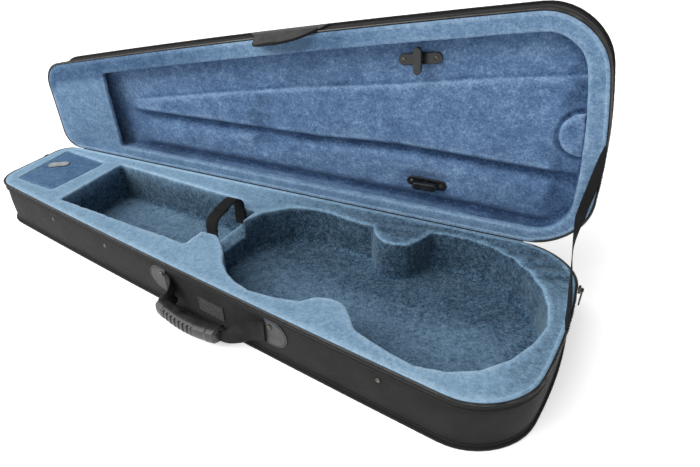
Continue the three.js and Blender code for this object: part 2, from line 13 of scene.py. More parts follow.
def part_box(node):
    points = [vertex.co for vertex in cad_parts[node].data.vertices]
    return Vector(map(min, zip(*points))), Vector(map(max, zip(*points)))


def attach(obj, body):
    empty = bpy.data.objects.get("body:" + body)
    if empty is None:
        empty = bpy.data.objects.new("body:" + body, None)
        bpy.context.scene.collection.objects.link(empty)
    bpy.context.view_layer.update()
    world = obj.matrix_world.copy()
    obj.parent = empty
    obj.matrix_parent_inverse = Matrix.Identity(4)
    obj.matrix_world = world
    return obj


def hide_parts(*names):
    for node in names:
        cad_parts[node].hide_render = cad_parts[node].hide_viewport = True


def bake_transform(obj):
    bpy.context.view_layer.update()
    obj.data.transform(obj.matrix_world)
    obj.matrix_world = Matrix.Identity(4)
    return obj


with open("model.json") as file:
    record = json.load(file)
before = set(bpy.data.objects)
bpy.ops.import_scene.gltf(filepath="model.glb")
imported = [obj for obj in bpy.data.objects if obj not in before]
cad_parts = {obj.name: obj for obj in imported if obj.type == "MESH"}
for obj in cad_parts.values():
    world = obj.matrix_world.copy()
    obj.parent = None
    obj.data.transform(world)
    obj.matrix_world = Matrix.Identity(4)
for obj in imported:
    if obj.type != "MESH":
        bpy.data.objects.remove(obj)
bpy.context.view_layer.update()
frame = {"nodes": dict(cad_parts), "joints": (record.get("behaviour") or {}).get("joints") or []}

MM = 0.001


# ---------------------------------------------------------------- places that come from the frame

def joint(name):
    return next(j for j in frame["joints"] if j["name"] == name)


def lid_opening():
    """Turns a lid that is shut into the lid as it stands at rest."""
    hinge = joint("lid_hinge")
    pivot = Matrix.Translation(Vector(hinge["pos_m"]))
    turn = Matrix.Rotation(math.radians(-hinge["range_deg"][0]), 4, Vector(hinge["axis"]))
    return pivot @ turn @ pivot.inverted()


OPEN = lid_opening()
SHUT = OPEN.inverted()
SHELL_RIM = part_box("base_shell")[1].z
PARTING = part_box("base_zip_teeth")[1].z + 0.5 * MM
LID_RIM = 2 * PARTING - SHELL_RIM
HINGE_FROM, HINGE_TO = (corner.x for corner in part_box("base_hinge_tape"))


def cad_points(node, matrix=None):
    points = np.array([v.co for v in frame["nodes"][node].data.vertices])
    if matrix is not None:
        points = points @ np.array(matrix.to_3x3()).T + np.array(matrix.translation)
    return points


LID_TOP = cad_points("lid_shell", SHUT)[:, 2].max()


def catmull_rom(points, steps, closed=False):
    """A smooth line through the points, with `steps` pieces between each two."""
    points = np.asarray(points, float)
    count = len(points)
    ends = count if closed else count - 1
    line = []
    for i in range(ends):
        pick = [(i + k) % count if closed else min(max(i + k, 0), count - 1) for k in (-1, 0, 1, 2)]
        a, b, c, d = points[pick]
        for t in np.linspace(0, 1, steps, endpoint=False):
            line.append(0.5 * (2 * b + (c - a) * t + (2 * a - 5 * b + 4 * c - d) * t * t
                               + (3 * b - a - 3 * c + d) * t ** 3))
    if not closed:
        line.append(points[-1])
    return np.array(line)


def evenly(points, count, closed=False):
    """The same line with evenly spaced points."""
    line = np.vstack([points, points[:1]]) if closed else points
    run = np.concatenate([[0], np.cumsum(np.linalg.norm(np.diff(line, axis=0), axis=1))])
    at = np.linspace(0, run[-1], count, endpoint=not closed)
    return np.stack([np.interp(at, run, line[:, k]) for k in range(line.shape[1])], axis=1)


def case_outline(count):
    """The plan's outline from the shell's lowest corners, as points and outward normals."""
    points = cad_points("base_shell")
    low = np.unique(np.round(points[points[:, 2] < MM][:, :2], 6), axis=0)
    spokes = low - low.mean(0)
    low = low[np.argsort(np.arctan2(spokes[:, 1], spokes[:, 0]))]
    edge = evenly(low, count, closed=True)
    for _ in range(4):
        edge = (np.roll(edge, 1, 0) + 2 * edge + np.roll(edge, -1, 0)) / 4
    tangent = np.roll(edge, -1, 0) - np.roll(edge, 1, 0)
    tangent /= np.linalg.norm(tangent, axis=1)[:, None]
    return edge, np.stack([tangent[:, 1], -tangent[:, 0]], axis=1)


OUTLINE, OUTWARD = case_outline(720)
PERIMETER = np.linalg.norm(np.diff(np.vstack([OUTLINE, OUTLINE[:1]]), axis=0), axis=1).sum()
BACK_Y = OUTLINE[:, 1].max()


def zip_stations():
    """The outline's points that the zip passes, in order: all but the stretch with the hinge."""
    behind = (OUTLINE[:, 1] > BACK_Y - 3 * MM) & (OUTLINE[:, 0] > HINGE_FROM + 2 * MM)
    behind &= OUTLINE[:, 0] < HINGE_TO - 2 * MM
    last = max(i for i in range(len(behind)) if behind[i] and not behind[(i + 1) % len(behind)])
    order = [(last + 1 + k) % len(behind) for k in range(len(behind))]
    return [i for i in order if not behind[i]]


ZIP_STATIONS = zip_stations()
ALL_STATIONS = list(range(len(OUTLINE)))


def lid_depth(z):
    """A base height, mirrored in the parting plane."""
    return 2 * PARTING - z


# ---------------------------------------------------------------- meshes

def linked(name, data):
    """A new object in the scene."""
    obj = bpy.data.objects.new(name, data)
    bpy.context.scene.collection.objects.link(obj)
    return obj


def new_object(name, vertices, faces, sharp=35):
    mesh = bpy.data.meshes.new(name)
    mesh.from_pydata([tuple(v) for v in vertices], [], faces)
    mesh.validate()
    shell = bmesh.new()
    shell.from_mesh(mesh)
    bmesh.ops.recalc_face_normals(shell, faces=shell.faces)
    shell.to_mesh(mesh)
    shell.free()
    mesh.polygons.foreach_set("use_smooth", [True] * len(mesh.polygons))
    mesh.set_sharp_from_angle(angle=math.radians(sharp))
    return linked(name, mesh)


def skin(name, rings, ends=True, sharp=35):
    """A surface through rings of equal length: closed round each ring, with both ends capped."""
    rings = [np.asarray(ring) for ring in rings]
    count = len(rings[0])
    faces = []
    for i in range(len(rings) - 1):
        for j in range(count):
            k = (j + 1) % count
            faces.append((i * count + j, i * count + k, (i + 1) * count + k, (i + 1) * count + j))
    if ends:
        faces.append(tuple(range(count)))
        faces.append(tuple(range((len(rings) - 1) * count, len(rings) * count)))
    return new_object(name, np.vstack(rings), faces, sharp)


def sweep(name, section, stations=ALL_STATIONS, wobble=0.0, sharp=35):
    """Runs a closed section of (outwards, height) points round the outline, or along part of it."""
    section = np.array(section)
    centre = section.mean(0)
    rings = []
    for i in stations:
        swell = 1 + wobble * math.sin(i * 2.1) * math.cos(i * 0.37)
        shape = centre + (section - centre) * swell
        flat = OUTLINE[i] + OUTWARD[i] * shape[:, :1]
        rings.append(np.column_stack([flat, shape[:, 1]]))
    if len(stations) == len(OUTLINE):
        return skin(name, rings + [rings[0]], ends=False, sharp=sharp)
    return skin(name, rings, sharp=sharp)


# Half of a strap's cross-section: share of the half width, and share of the half thickness.
STRAP_FACE = [(-1, 0.35), (-0.93, 1), (-0.5, 1), (0, 1), (0.5, 1), (0.93, 1), (1, 0.35)]


def strap(name, stations, thickness, steps=6):
    """A flat strap through stations of (place, direction of its width, width)."""
    section = [(s, -f) for s, f in STRAP_FACE] + STRAP_FACE[::-1]
    places = catmull_rom([s[0] for s in stations], steps)
    acrosses = catmull_rom([s[1] for s in stations], steps)
    widths = catmull_rom([[s[2]] for s in stations], steps)[:, 0]
    along = np.gradient(places, axis=0)
    along /= np.linalg.norm(along, axis=1)[:, None]
    rings = []
    for place, across, width, forward in zip(places, acrosses, widths, along):
        side = across - forward * np.dot(across, forward)
        side /= np.linalg.norm(side)
        face = np.cross(forward, side)
        rings.append([place + side * s * width / 2 + face * f * thickness / 2 for s, f in section])
    run = np.linalg.norm(np.diff(places, axis=0), axis=1)
    area = float((run * (widths[1:] + widths[:-1]) / 2).sum())
    obj = skin(name, rings, sharp=50)
    return obj, float(run.sum()), area


def bead(size):
    """A small bead to scatter: its corners and faces, `size` in millimetres along, outwards and up."""
    shape = bmesh.new()
    bmesh.ops.create_uvsphere(shape, u_segments=8, v_segments=5, radius=0.5)
    corners = np.array([v.co for v in shape.verts]) * np.array([s * MM for s in size])
    faces = [tuple(v.index for v in face.verts) for face in shape.faces]
    shape.free()
    return corners, faces


def scatter(name, shape, spots):
    """Copies of a small shape at spots of (place, along, outwards), as one piece."""
    corners, faces = shape
    vertices, all_faces = [], []
    for place, along, out in spots:
        along = np.asarray(along, float) / np.linalg.norm(along)
        out = np.asarray(out, float) / np.linalg.norm(out)
        basis = np.stack([along, out, np.cross(along, out)])
        all_faces += [tuple(i + len(vertices) * len(corners) for i in face) for face in faces]
        vertices.append(corners @ basis + np.asarray(place))
    return new_object(name, np.vstack(vertices), all_faces)


def rim_spots(out, height, pitch, stations=ALL_STATIONS):
    """Spots at an even pitch along the outline."""
    line = np.column_stack([OUTLINE[stations], OUTWARD[stations]])
    closed = len(stations) == len(OUTLINE)
    length = PERIMETER * len(stations) / len(OUTLINE)
    even = evenly(line, int(length / pitch), closed)
    spots = []
    for x, y, nx, ny in even:
        spots.append(((x + nx * out, y + ny * out, height), (-ny, nx, 0), (nx, ny, 0)))
    return spots


def route_spots(route, pitch, out):
    """Spots at an even pitch along any line, with one outward direction."""
    route = np.asarray(route)
    length = np.linalg.norm(np.diff(route, axis=0), axis=1).sum()
    line = evenly(route, max(int(length / pitch), 3))
    tangents = np.gradient(line, axis=0)
    return [(place, tangent, out) for place, tangent in zip(line, tangents)]


def applied(obj, *modifiers):
    """Bakes modifiers of (type, settings) into the object's mesh."""
    for kind, settings in modifiers:
        modifier = obj.modifiers.new(kind.lower(), kind)
        for key, value in settings.items():
            setattr(modifier, key, value)
    bpy.context.view_layer.update()
    graph = bpy.context.evaluated_depsgraph_get()
    mesh = bpy.data.meshes.new_from_object(obj.evaluated_get(graph))
    obj.modifiers.clear()
    obj.data = mesh
    return obj


def copy_of(name, nodes, matrix=None, grow=0.0):
    """One object made of copies of CAD nodes, each a little fatter so that neighbours meet."""
    whole = bmesh.new()
    for node in nodes:
        piece = bmesh.new()
        piece.from_mesh(frame["nodes"][node].data)
        bmesh.ops.remove_doubles(piece, verts=piece.verts, dist=1e-6)
        if matrix is not None:
            bmesh.ops.transform(piece, matrix=matrix, verts=piece.verts)
        piece.normal_update()
        if grow:
            for vertex, normal in [(v, v.normal.copy()) for v in piece.verts]:
                vertex.co += normal * grow
        scratch = bpy.data.meshes.new("scratch")
        piece.to_mesh(scratch)
        piece.free()
        whole.from_mesh(scratch)
        bpy.data.meshes.remove(scratch)
    mesh = bpy.data.meshes.new(name)
    whole.to_mesh(mesh)
    whole.free()
    return linked(name, mesh)


def mesh_arrays(mesh):
    points = np.empty(len(mesh.vertices) * 3)
    mesh.vertices.foreach_get("co", points)
    edges = np.empty(len(mesh.edges) * 2, dtype=np.int64)
    mesh.edges.foreach_get("vertices", edges)
    return points.reshape(-1, 3), edges.reshape(-1, 2)


def neighbour_mean(values, edges, degree):
    total = np.zeros_like(values)
    np.add.at(total, edges[:, 0], values[edges[:, 1]])
    np.add.at(total, edges[:, 1], values[edges[:, 0]])
    return total / degree


def relaxed(obj, rounds):
    """Evens out the surface: each point moves towards the middle of its neighbours."""
    mesh = obj.data
    points, edges = mesh_arrays(mesh)
    degree = np.maximum(np.bincount(edges.ravel(), minlength=len(points)), 1)[:, None]
    for _ in range(rounds):
        points += 0.5 * (neighbour_mean(points, edges, degree) - points)
    mesh.vertices.foreach_set("co", points.ravel())
    mesh.update()
    mesh.polygons.foreach_set("use_smooth", [True] * len(mesh.polygons))
    return obj


def mark_painted_shade(obj, reach, pressed=None):
    """Stores painted shade for the pile's colour: how deep in a fold each point lies, so folds come out
    darker and ridges lighter; 0.5 is flat.

    `pressed` adds painted shade where the light falls less, and painted light where it gives less than zero."""
    mesh = obj.data
    points, edges = mesh_arrays(mesh)
    normals = np.empty(len(mesh.vertices) * 3)
    mesh.vertices.foreach_get("normal", normals)
    degree = np.maximum(np.bincount(edges.ravel(), minlength=len(points)), 1)[:, None]
    broad = points.copy()
    for _ in range(reach):
        broad = neighbour_mean(broad, edges, degree)
    depth = ((broad - points) * normals.reshape(-1, 3)).sum(1, keepdims=True)
    for _ in range(2):
        depth = neighbour_mean(depth, edges, degree)
    # Painted shade: points lying below their neighbours get higher values, which the plush material turns
    # darker.
    value = 0.5 + depth[:, 0] / (2.4 * MM)
    if pressed:
        value += [pressed(v.co, v.normal) for v in mesh.vertices]
    value = np.clip(value, 0, 1)
    mesh.attributes.new("painted_shade", "FLOAT", "POINT").data.foreach_set("value", value)


def rounded(name, nodes, voxel, rounds, matrix=None):
    """CAD solids with their edges rounded off, as moulded or sewn pieces are."""
    obj = copy_of(name, nodes, matrix)
    size = voxel * 1
    applied(obj, ("REMESH", {"mode": "VOXEL", "voxel_size": size, "use_smooth_shade": True}))
    return relaxed(obj, rounds)


def displaced(obj, move):
    """Moves every point by what `move` says of its place and normal."""
    for vertex, normal in [(v, v.normal.copy()) for v in obj.data.vertices]:
        vertex.co += move(vertex.co, normal)
    obj.data.update()
    return obj


def smooth_step(low, high, value):
    t = min(max((value - low) / (high - low), 0.0), 1.0)
    return t * t * (3 - 2 * t)


def bell(value, width):
    """1 at zero, falling smoothly to nothing a few widths away."""
    return math.exp(-(value / width) ** 2)


def rough(place, size, seed=0.0):
    """Smooth noise from -1 to 1 whose features are about `size` across."""
    return noise.noise(place / size + Vector((seed, seed * 0.7, -seed)))


def opened(obj):
    """Turns a piece made on the shut lid to where the lid stands at rest."""
    obj.data.transform(OPEN)
    return obj


def same(value):
    return value


# Each half of the case: its body, its heights from base heights, and its turn to where it stands.
SIDES = (("base", same, same), ("lid", lid_depth, opened))


def dressed(obj, body, material, slot, *replaced):
    """Gives a piece its material, its body and what it stands for."""
    obj.data.materials.clear()
    obj.data.materials.append(material)
    if body:
        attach(obj, body)
    if replaced:
        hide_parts(*replaced)
    return obj


# ---------------------------------------------------------------- materials

def linear(*rgb):
    return tuple((c / 255 / 12.92 if c <= 10 else ((c / 255 + 0.055) / 1.055) ** 2.4) for c in rgb) + (1.0,)


class Maker:
    """A material's node tree, built with a few short calls."""

    def __init__(self, name):
        self.material = bpy.data.materials.new(name)
        self.material.use_nodes = True
        self.tree = self.material.node_tree
        self.shader = self.tree.nodes["Principled BSDF"]
        self.place = self.tree.nodes.new("ShaderNodeTexCoord").outputs["Object"]

    def put(self, kind, values=None, **links):
        made = self.tree.nodes.new(kind)
        for key, value in (values or {}).items():
            if key in made.inputs:
                made.inputs[key].default_value = value
            else:
                setattr(made, key, value)
        for key, source in links.items():
            self.tree.links.new(source, made.inputs[key.replace("_", " ")])
        return made

    def stretched(self, scale):
        return self.put("ShaderNodeMapping", {"Scale": scale}, Vector=self.place).outputs["Vector"]

    def noise(self, size, detail=3.0, roughness=0.55, distortion=0.0, place=None):
        values = {"Scale": 1 / size, "Detail": detail, "Roughness": roughness, "Distortion": distortion}
        return self.put("ShaderNodeTexNoise", values, Vector=place or self.place).outputs["Fac"]

    def weave(self, pitch, direction):
        values = {"Scale": 1 / pitch / 3.18, "bands_direction": direction, "Distortion": 0.6,
                  "Detail": 1.0, "wave_profile": "SIN"}
        return self.put("ShaderNodeTexWave", values, Vector=self.place).outputs["Fac"]

    def math(self, operation, a, b):
        made = self.put("ShaderNodeMath", {"operation": operation})
        for i, value in enumerate((a, b)):
            if isinstance(value, (int, float)):
                made.inputs[i].default_value = value
            else:
                self.tree.links.new(value, made.inputs[i])
        return made.outputs[0]

    def mixed(self, *parts):
        """The sum of sources, each times its share."""
        total = None
        for source, share in parts:
            part = self.math("MULTIPLY", source, share)
            total = part if total is None else self.math("ADD", total, part)
        return total

    def ramp(self, fac, *stops):
        made = self.put("ShaderNodeValToRGB", Fac=fac)
        elements = made.color_ramp.elements
        while len(elements) < len(stops):
            elements.new(0.5)
        for element, (position, colour) in zip(elements, stops):
            element.position = position
            element.color = colour
        return made.outputs["Color"]

    def bump(self, height, distance, strength=1.0, under=None):
        made = self.put("ShaderNodeBump", {"Strength": strength, "Distance": distance}, Height=height)
        if under is not None:
            self.tree.links.new(under, made.inputs["Normal"])
        return made.outputs["Normal"]

    def done(self, colour=None, normal=None, roughness=None, **values):
        for key, value in values.items():
            self.shader.inputs[key.replace("_", " ")].default_value = value
        for key, source in (("Base Color", colour), ("Normal", normal), ("Roughness", roughness)):
            if source is not None:
                self.tree.links.new(source, self.shader.inputs[key])
        return self.material


def plush(name, dark, middle, light, contrast, streak=1.0, patchy=0.12):
    """Crushed pile: broad pressed patches, small flecks and single fibres, with painted shade read from the
    stored attribute: darker in folds and wherever more shade is painted, lighter on ridges.
    """
    make = Maker(name)
    patches = make.noise(45 * MM, 2, 0.5, 1.2)
    along = make.stretched((0.75 / streak, 1, 1))
    flecks = make.noise(6 * MM, 4, 0.66, 0.6, along)
    grain = make.noise(2.6 * MM, 3, 0.8)
    mix = make.mixed((patches, patchy), (flecks, 0.5 - patchy), (grain, 0.5))
    painted_shade = make.put("ShaderNodeAttribute", {"attribute_name": "painted_shade"}).outputs["Fac"]
    # Painted shade: higher stored values darken the colour, lower ones lighten it.
    fold = make.math("MULTIPLY", make.math("SUBTRACT", painted_shade, 0.5), -0.85)
    spread = make.math("ADD", make.math("MULTIPLY", make.math("SUBTRACT", mix, 0.5), contrast), 0.5)
    spread = make.math("ADD", spread, fold)
    colour = make.ramp(spread, (0.0, dark), (0.5, middle), (1.0, light))
    soft = make.bump(flecks, 1.2 * MM, 0.5)
    fibre = make.bump(grain, 0.6 * MM, 0.9, soft)
    tint = tuple(min(c * 1.5, 1.0) for c in light[:3]) + (1.0,)
    return make.done(colour, fibre, Roughness=0.95, Sheen_Weight=0.35, Sheen_Roughness=0.45,
                     Sheen_Tint=tint, Specular_IOR_Level=0.15)


def nylon(name, dark, light):
    make = Maker(name)
    pitch = 0.9 * MM
    weave = make.math("MULTIPLY", make.weave(pitch, "X"), make.weave(pitch, "Z"))
    cloudy = make.noise(30 * MM, 4, 0.6)
    lint = make.noise(1.1 * MM, 4, 0.75)
    colour = make.ramp(make.mixed((cloudy, 0.45), (lint, 0.4), (weave, 0.3)), (0.34, dark), (0.7, light))
    grain = make.bump(weave, 0.25 * MM, 0.7)
    slub = make.bump(lint, 0.35 * MM, 0.6, grain)
    wrinkle = make.bump(cloudy, 3 * MM, 0.25, slub)
    return make.done(colour, wrinkle, Roughness=0.8, Sheen_Weight=0.08, Sheen_Roughness=0.4,
                     Specular_IOR_Level=0.22)


def ribbed_tape(name, dark, light, pitch=0.8 * MM):
    make = Maker(name)
    ribs = make.weave(pitch, "DIAGONAL")
    worn = make.noise(6 * MM, 3, 0.6)
    colour = make.ramp(make.mixed((ribs, 0.5), (worn, 0.5)), (0.25, dark), (0.75, light))
    return make.done(colour, make.bump(ribs, 0.3 * MM, 0.8), Roughness=0.75, Sheen_Weight=0.05,
                     Specular_IOR_Level=0.25)


def leathery(name, dark, light):
    make = Maker(name)
    grain_size = 1.6 * MM
    cells = make.put("ShaderNodeTexVoronoi", {"Scale": 1 / grain_size, "feature": "F1"}, Vector=make.place)
    shine = make.noise(12 * MM, 3, 0.6)
    colour = make.ramp(shine, (0.3, dark), (0.7, light))
    pebbles = make.bump(cells.outputs["Distance"], 0.35 * MM, 0.7)
    creases = make.bump(make.noise(5 * MM, 4, 0.65), 0.8 * MM, 0.3, pebbles)
    rough_map = make.math("ADD", make.math("MULTIPLY", shine, 0.25), 0.38)
    return make.done(colour, creases, rough_map, Specular_IOR_Level=0.45)


def moulded(name, dark, light, roughness):
    make = Maker(name)
    patchy = make.noise(14 * MM, 3, 0.6)
    spark = make.noise(0.7 * MM, 2, 0.6)
    colour = make.ramp(patchy, (0.3, dark), (0.75, light))
    rough_map = make.math("ADD", make.math("MULTIPLY", patchy, 0.2), roughness - 0.1)
    return make.done(colour, make.bump(spark, 0.12 * MM, 0.5), rough_map, Specular_IOR_Level=0.5)


def plated(name, dark, light, roughness):
    make = Maker(name)
    tarnish = make.noise(2.5 * MM, 4, 0.65)
    colour = make.ramp(tarnish, (0.35, dark), (0.7, light))
    rough_map = make.math("ADD", make.math("MULTIPLY", tarnish, 0.3), roughness - 0.15)
    return make.done(colour, make.bump(tarnish, 0.1 * MM, 0.4), rough_map, Metallic=1.0)


def pile(name, dark, light):
    make = Maker(name)
    loops = make.noise(1.1 * MM, 3, 0.75)
    worn = make.noise(9 * MM, 3, 0.6)
    colour = make.ramp(make.mixed((loops, 0.6), (worn, 0.4)), (0.35, dark), (0.7, light))
    return make.done(colour, make.bump(loops, 0.9 * MM, 1.0), Roughness=0.95, Sheen_Weight=0.3,
                     Specular_IOR_Level=0.15)


PLUSH_LIGHT = plush("plush_light", linear(30, 54, 74), linear(124, 156, 182),
                    linear(176, 204, 224), 1.45, 0.8)
# The lid's plush is darker than the base's, partly its own deeper blue and partly painted shade; its rim copy
# is lighter than the panel's copy, painted light and painted shade on one plush.
PLUSH_LID = plush("plush_lid", linear(36, 58, 90), linear(86, 114, 150), linear(142, 170, 200), 2.5, 1.2, 0.2)
PLUSH_RIM = plush("plush_rim", linear(52, 78, 110), linear(98, 127, 157),
                  linear(146, 172, 196), 2.3, 1.2, 0.18)
# A darker copy of the plush for the accessory box's lid: painted shade for the shade it lies in.
PLUSH_BOX = plush("plush_box", linear(44, 68, 98), linear(74, 104, 136), linear(114, 142, 170), 2.2)
NYLON = nylon("nylon_cover", linear(8, 8, 10), linear(36, 36, 38))
BINDING = ribbed_tape("binding_tape", linear(7, 7, 8), linear(24, 24, 26))
TAPE = ribbed_tape("zip_tape", linear(10, 10, 11), linear(30, 30, 32), 0.6 * MM)
COIL = moulded("zip_coil", linear(18, 18, 19), linear(66, 64, 60), 0.3)
THREAD = ribbed_tape("thread", linear(14, 14, 15), linear(62, 62, 64), 0.4 * MM)
WEBBING = ribbed_tape("webbing", linear(3, 3, 4), linear(15, 15, 17), 1.0 * MM)
VINYL = leathery("vinyl", linear(38, 38, 40), linear(74, 74, 76))
FLAP_VINYL = leathery("flap_vinyl", linear(38, 38, 38), linear(66, 66, 65))
HOOKS = pile("hook_pile", linear(3, 3, 4), linear(18, 18, 20))
GRIP = moulded("grip_plastic", linear(24, 24, 25), linear(54, 54, 56), 0.3)
CLIP = moulded("clip_plastic", linear(12, 13, 15), linear(34, 36, 38), 0.28)
STEEL = plated("dark_nickel", linear(52, 49, 42), linear(132, 128, 116), 0.38)
TAB = leathery("tab_vinyl", linear(132, 134, 132), linear(184, 184, 180))


def stitches(name, spots, size, body, slot, turn=same):
    """A row of thread, one bead of `size` millimetres for each stitch."""
    dressed(turn(scatter(name, bead(size), spots)), body, THREAD, slot)


def plain_piece(name, node, body, material, slot, voxel, rounds, matrix=None, turn=same):
    """One CAD solid with rounded edges that needs no more shaping."""
    dressed(turn(rounded(name, [node], voxel, rounds, matrix)), body, material, slot, node)


def at_hinge(y):
    """0 round the case, and 1 along the back edge, where the hinge is."""
    return smooth_step(BACK_Y - 2 * MM, BACK_Y - 0.3 * MM, y)


# ---------------------------------------------------------------- covers

def medial(points, share):
    """Shrinks the outline towards its middle line, for the rings of a panel."""
    low, high = OUTLINE[:, 0].min() + 60 * MM, OUTLINE[:, 0].max() - 110 * MM
    x = np.clip(points[:, 0], low, high)
    front = np.interp(x, *FRONT_LINE)
    middle = np.column_stack([x, (front + BACK_Y) / 2])
    return middle + (points - middle) * share


def front_line():
    """The front edge of the outline, as two rows for interpolation."""
    front = OUTLINE[OUTLINE[:, 1] < 0]
    order = np.argsort(front[:, 0])
    return front[order, 0], front[order, 1]


FRONT_LINE = front_line()


def cover_wave(place, normal, amount):
    """Slack and puckers of cloth glued over foam."""
    wave = rough(place, 55 * MM, 3) * 0.5 + rough(place, 14 * MM, 8) * 0.2
    return normal * wave * amount


def cover(name, rim, far, crown, panel_rings):
    """The nylon outside of one half: wall, rolled edge and panel, closed by its hidden inner face."""
    up = 1 if rim > far else -1
    height = abs(rim - far)
    wall = [(0.6, 0), (-0.2, 0.8), (0, 2), (-0.25, 5)]
    wall += [(-0.9 * math.sin(math.pi * t), 5 + (height / MM - 14) * t) for t in np.linspace(0, 1, 12)[1:]]
    wall += [(0.2, height / MM - 8.2), (0, height / MM - 5), (0.1, height / MM - 1), (1.2, height / MM)]
    rings = []
    for share in panel_rings:
        flat = medial(OUTLINE - OUTWARD * 5 * MM, share)
        rise = far - up * (crown * (1 - share ** 2) + 0.6 * MM * (crown > 0))
        rings.append(np.column_stack([flat, np.full(len(flat), rise)]))
    rolled = [(3.4, -0.6), (1.6, 0)] if crown > 0 else [(3.4, 0), (1.6, 0)]
    inner_face = [(3.7, height / MM), (3.7, 4.2), (12, 4)]
    for inset, rise in rolled + wall + inner_face:
        flat = OUTLINE - OUTWARD * inset * MM
        rings.append(np.column_stack([flat, np.full(len(flat), far + up * rise * MM)]))
    obj = skin(name, rings, sharp=60)

    def slack(place, normal):
        loose = crown > 0 or abs(place.z - far) > MM
        return cover_wave(place, normal, 1.1 * MM if loose else 0)

    return displaced(obj, slack)


def add_covers():
    base = cover("base_cover", SHELL_RIM, 0.0, 0.0, (0.05, 0.5))
    dressed(base, "base", NYLON, "nylon", "base_shell")
    crowned_rings = (0.03, 0.12, 0.25, 0.4, 0.55, 0.7, 0.82, 0.91, 0.97)
    lid = cover("lid_cover", LID_RIM, LID_TOP, 2.2 * MM, crowned_rings)
    dressed(opened(lid), "lid", NYLON, "nylon", "lid_shell")


def tube_section(out, height, radius_out, radius_up, count=12):
    angles = np.linspace(0, 2 * math.pi, count, endpoint=False)
    return [(out + radius_out * math.cos(a), height + radius_up * math.sin(a)) for a in angles]


def add_piping():
    """A corded edge round each panel, with the binding's fold and its seam above it."""
    fold_shape = ((-0.6, 4), (1.4, 4.4), (1.0, 6.4), (0.5, 7.4), (-0.6, 7.6))
    for side, place, turn in (("base", same, same), ("lid", lambda z: LID_TOP - z, opened)):
        section = [(o, place(z)) for o, z in tube_section(1.5 * MM, 2.45 * MM, 2.1 * MM, 2.35 * MM)]
        piping = sweep(f"{side}_edge_piping", section, wobble=0.05)
        dressed(turn(piping), side, BINDING, "binding", f"{side}_piping")
        fold = [(o * MM, place(z * MM)) for o, z in fold_shape]
        dressed(turn(sweep(f"{side}_edge_fold", fold, wobble=0.1)), side, BINDING, "binding")
        spots = rim_spots(0.95 * MM, place(6.3 * MM), 3.3 * MM)
        stitches(f"{side}_edge_stitches", spots, (2.3, 0.5, 0.6), side, "binding", turn)


def add_zips():
    """Tape with a folded lower edge, a row of stitches and the coil's teeth, on each half."""
    band = [(-0.6, 52.6), (0.9, 52.7), (1.5, 53.5), (1.5, 54.6), (0.9, 55.3), (0.75, 56.4), (0.8, 58.0),
            (1.3, 58.7), (1.8, 59.4), (1.8, 60.6), (1.2, 61.4), (-0.6, 61.6)]
    for side, place, turn in SIDES:
        section = [(o * MM, place(z * MM)) for o, z in band]
        tape = sweep(f"{side}_zip_band", section, ZIP_STATIONS, wobble=0.03)
        dressed(turn(tape), side, TAPE, "binding", f"{side}_zip_tape")
        teeth = scatter(f"{side}_zip_coil", bead((1.25, 2.3, 1.7)),
                        rim_spots(1.3 * MM, place(62.5 * MM), 1.75 * MM, ZIP_STATIONS))
        dressed(turn(teeth), side, COIL, "coil", f"{side}_zip_teeth")
        cord = [(o, place(z)) for o, z in tube_section(0.9 * MM, 62.4 * MM, 1.0 * MM, 1.0 * MM, 8)]
        dressed(turn(sweep(f"{side}_zip_cord", cord, ZIP_STATIONS)), side, COIL, "coil")
        for row, height in enumerate((54.0, 57.2)):
            out = (1.55, 0.85)[row] * MM
            spots = rim_spots(out, place(height * MM), 3.1 * MM, ZIP_STATIONS)
            stitches(f"{side}_zip_stitches_{row + 1}", spots, (2.2, 0.45, 0.55), side, "binding", turn)


def add_plush_lips():
    """The turned edge of the plush, which lies along the top of each shell and nearly meets at the hinge."""
    shape = np.array([(-7.0, 60.6), (0.1, 61.8), (0.7, 62.5), (0.3, 63.2),
                      (-1.2, 63.7), (-3.5, 63.4), (-7.0, 61.0)])
    materials_and_shades = ((PLUSH_LIGHT, bed_shade), (PLUSH_RIM, lid_shade))
    for (side, place, turn), (material, shade_of) in zip(SIDES, materials_and_shades):
        rings = []
        for i in ALL_STATIONS:
            reach = 2.8 * at_hinge(OUTLINE[i][1])
            out = shape[:, 0] - 1.3 + reach * np.clip((shape[:, 0] + 7) / 7, 0, 1)
            flat = OUTLINE[i] + OUTWARD[i] * out[:, None] * MM
            heights = [place(z * MM) for z in shape[:, 1]]
            rings.append(np.column_stack([flat, heights]))
        lip = skin(f"{side}_plush_lip", rings + [rings[0]], ends=False, sharp=80)
        # Painted shade on the lip, from the bed's and the lid's shade rules.
        mark_painted_shade(lip, 2, shade_of)
        dressed(turn(lip), side, material, "plush_light")


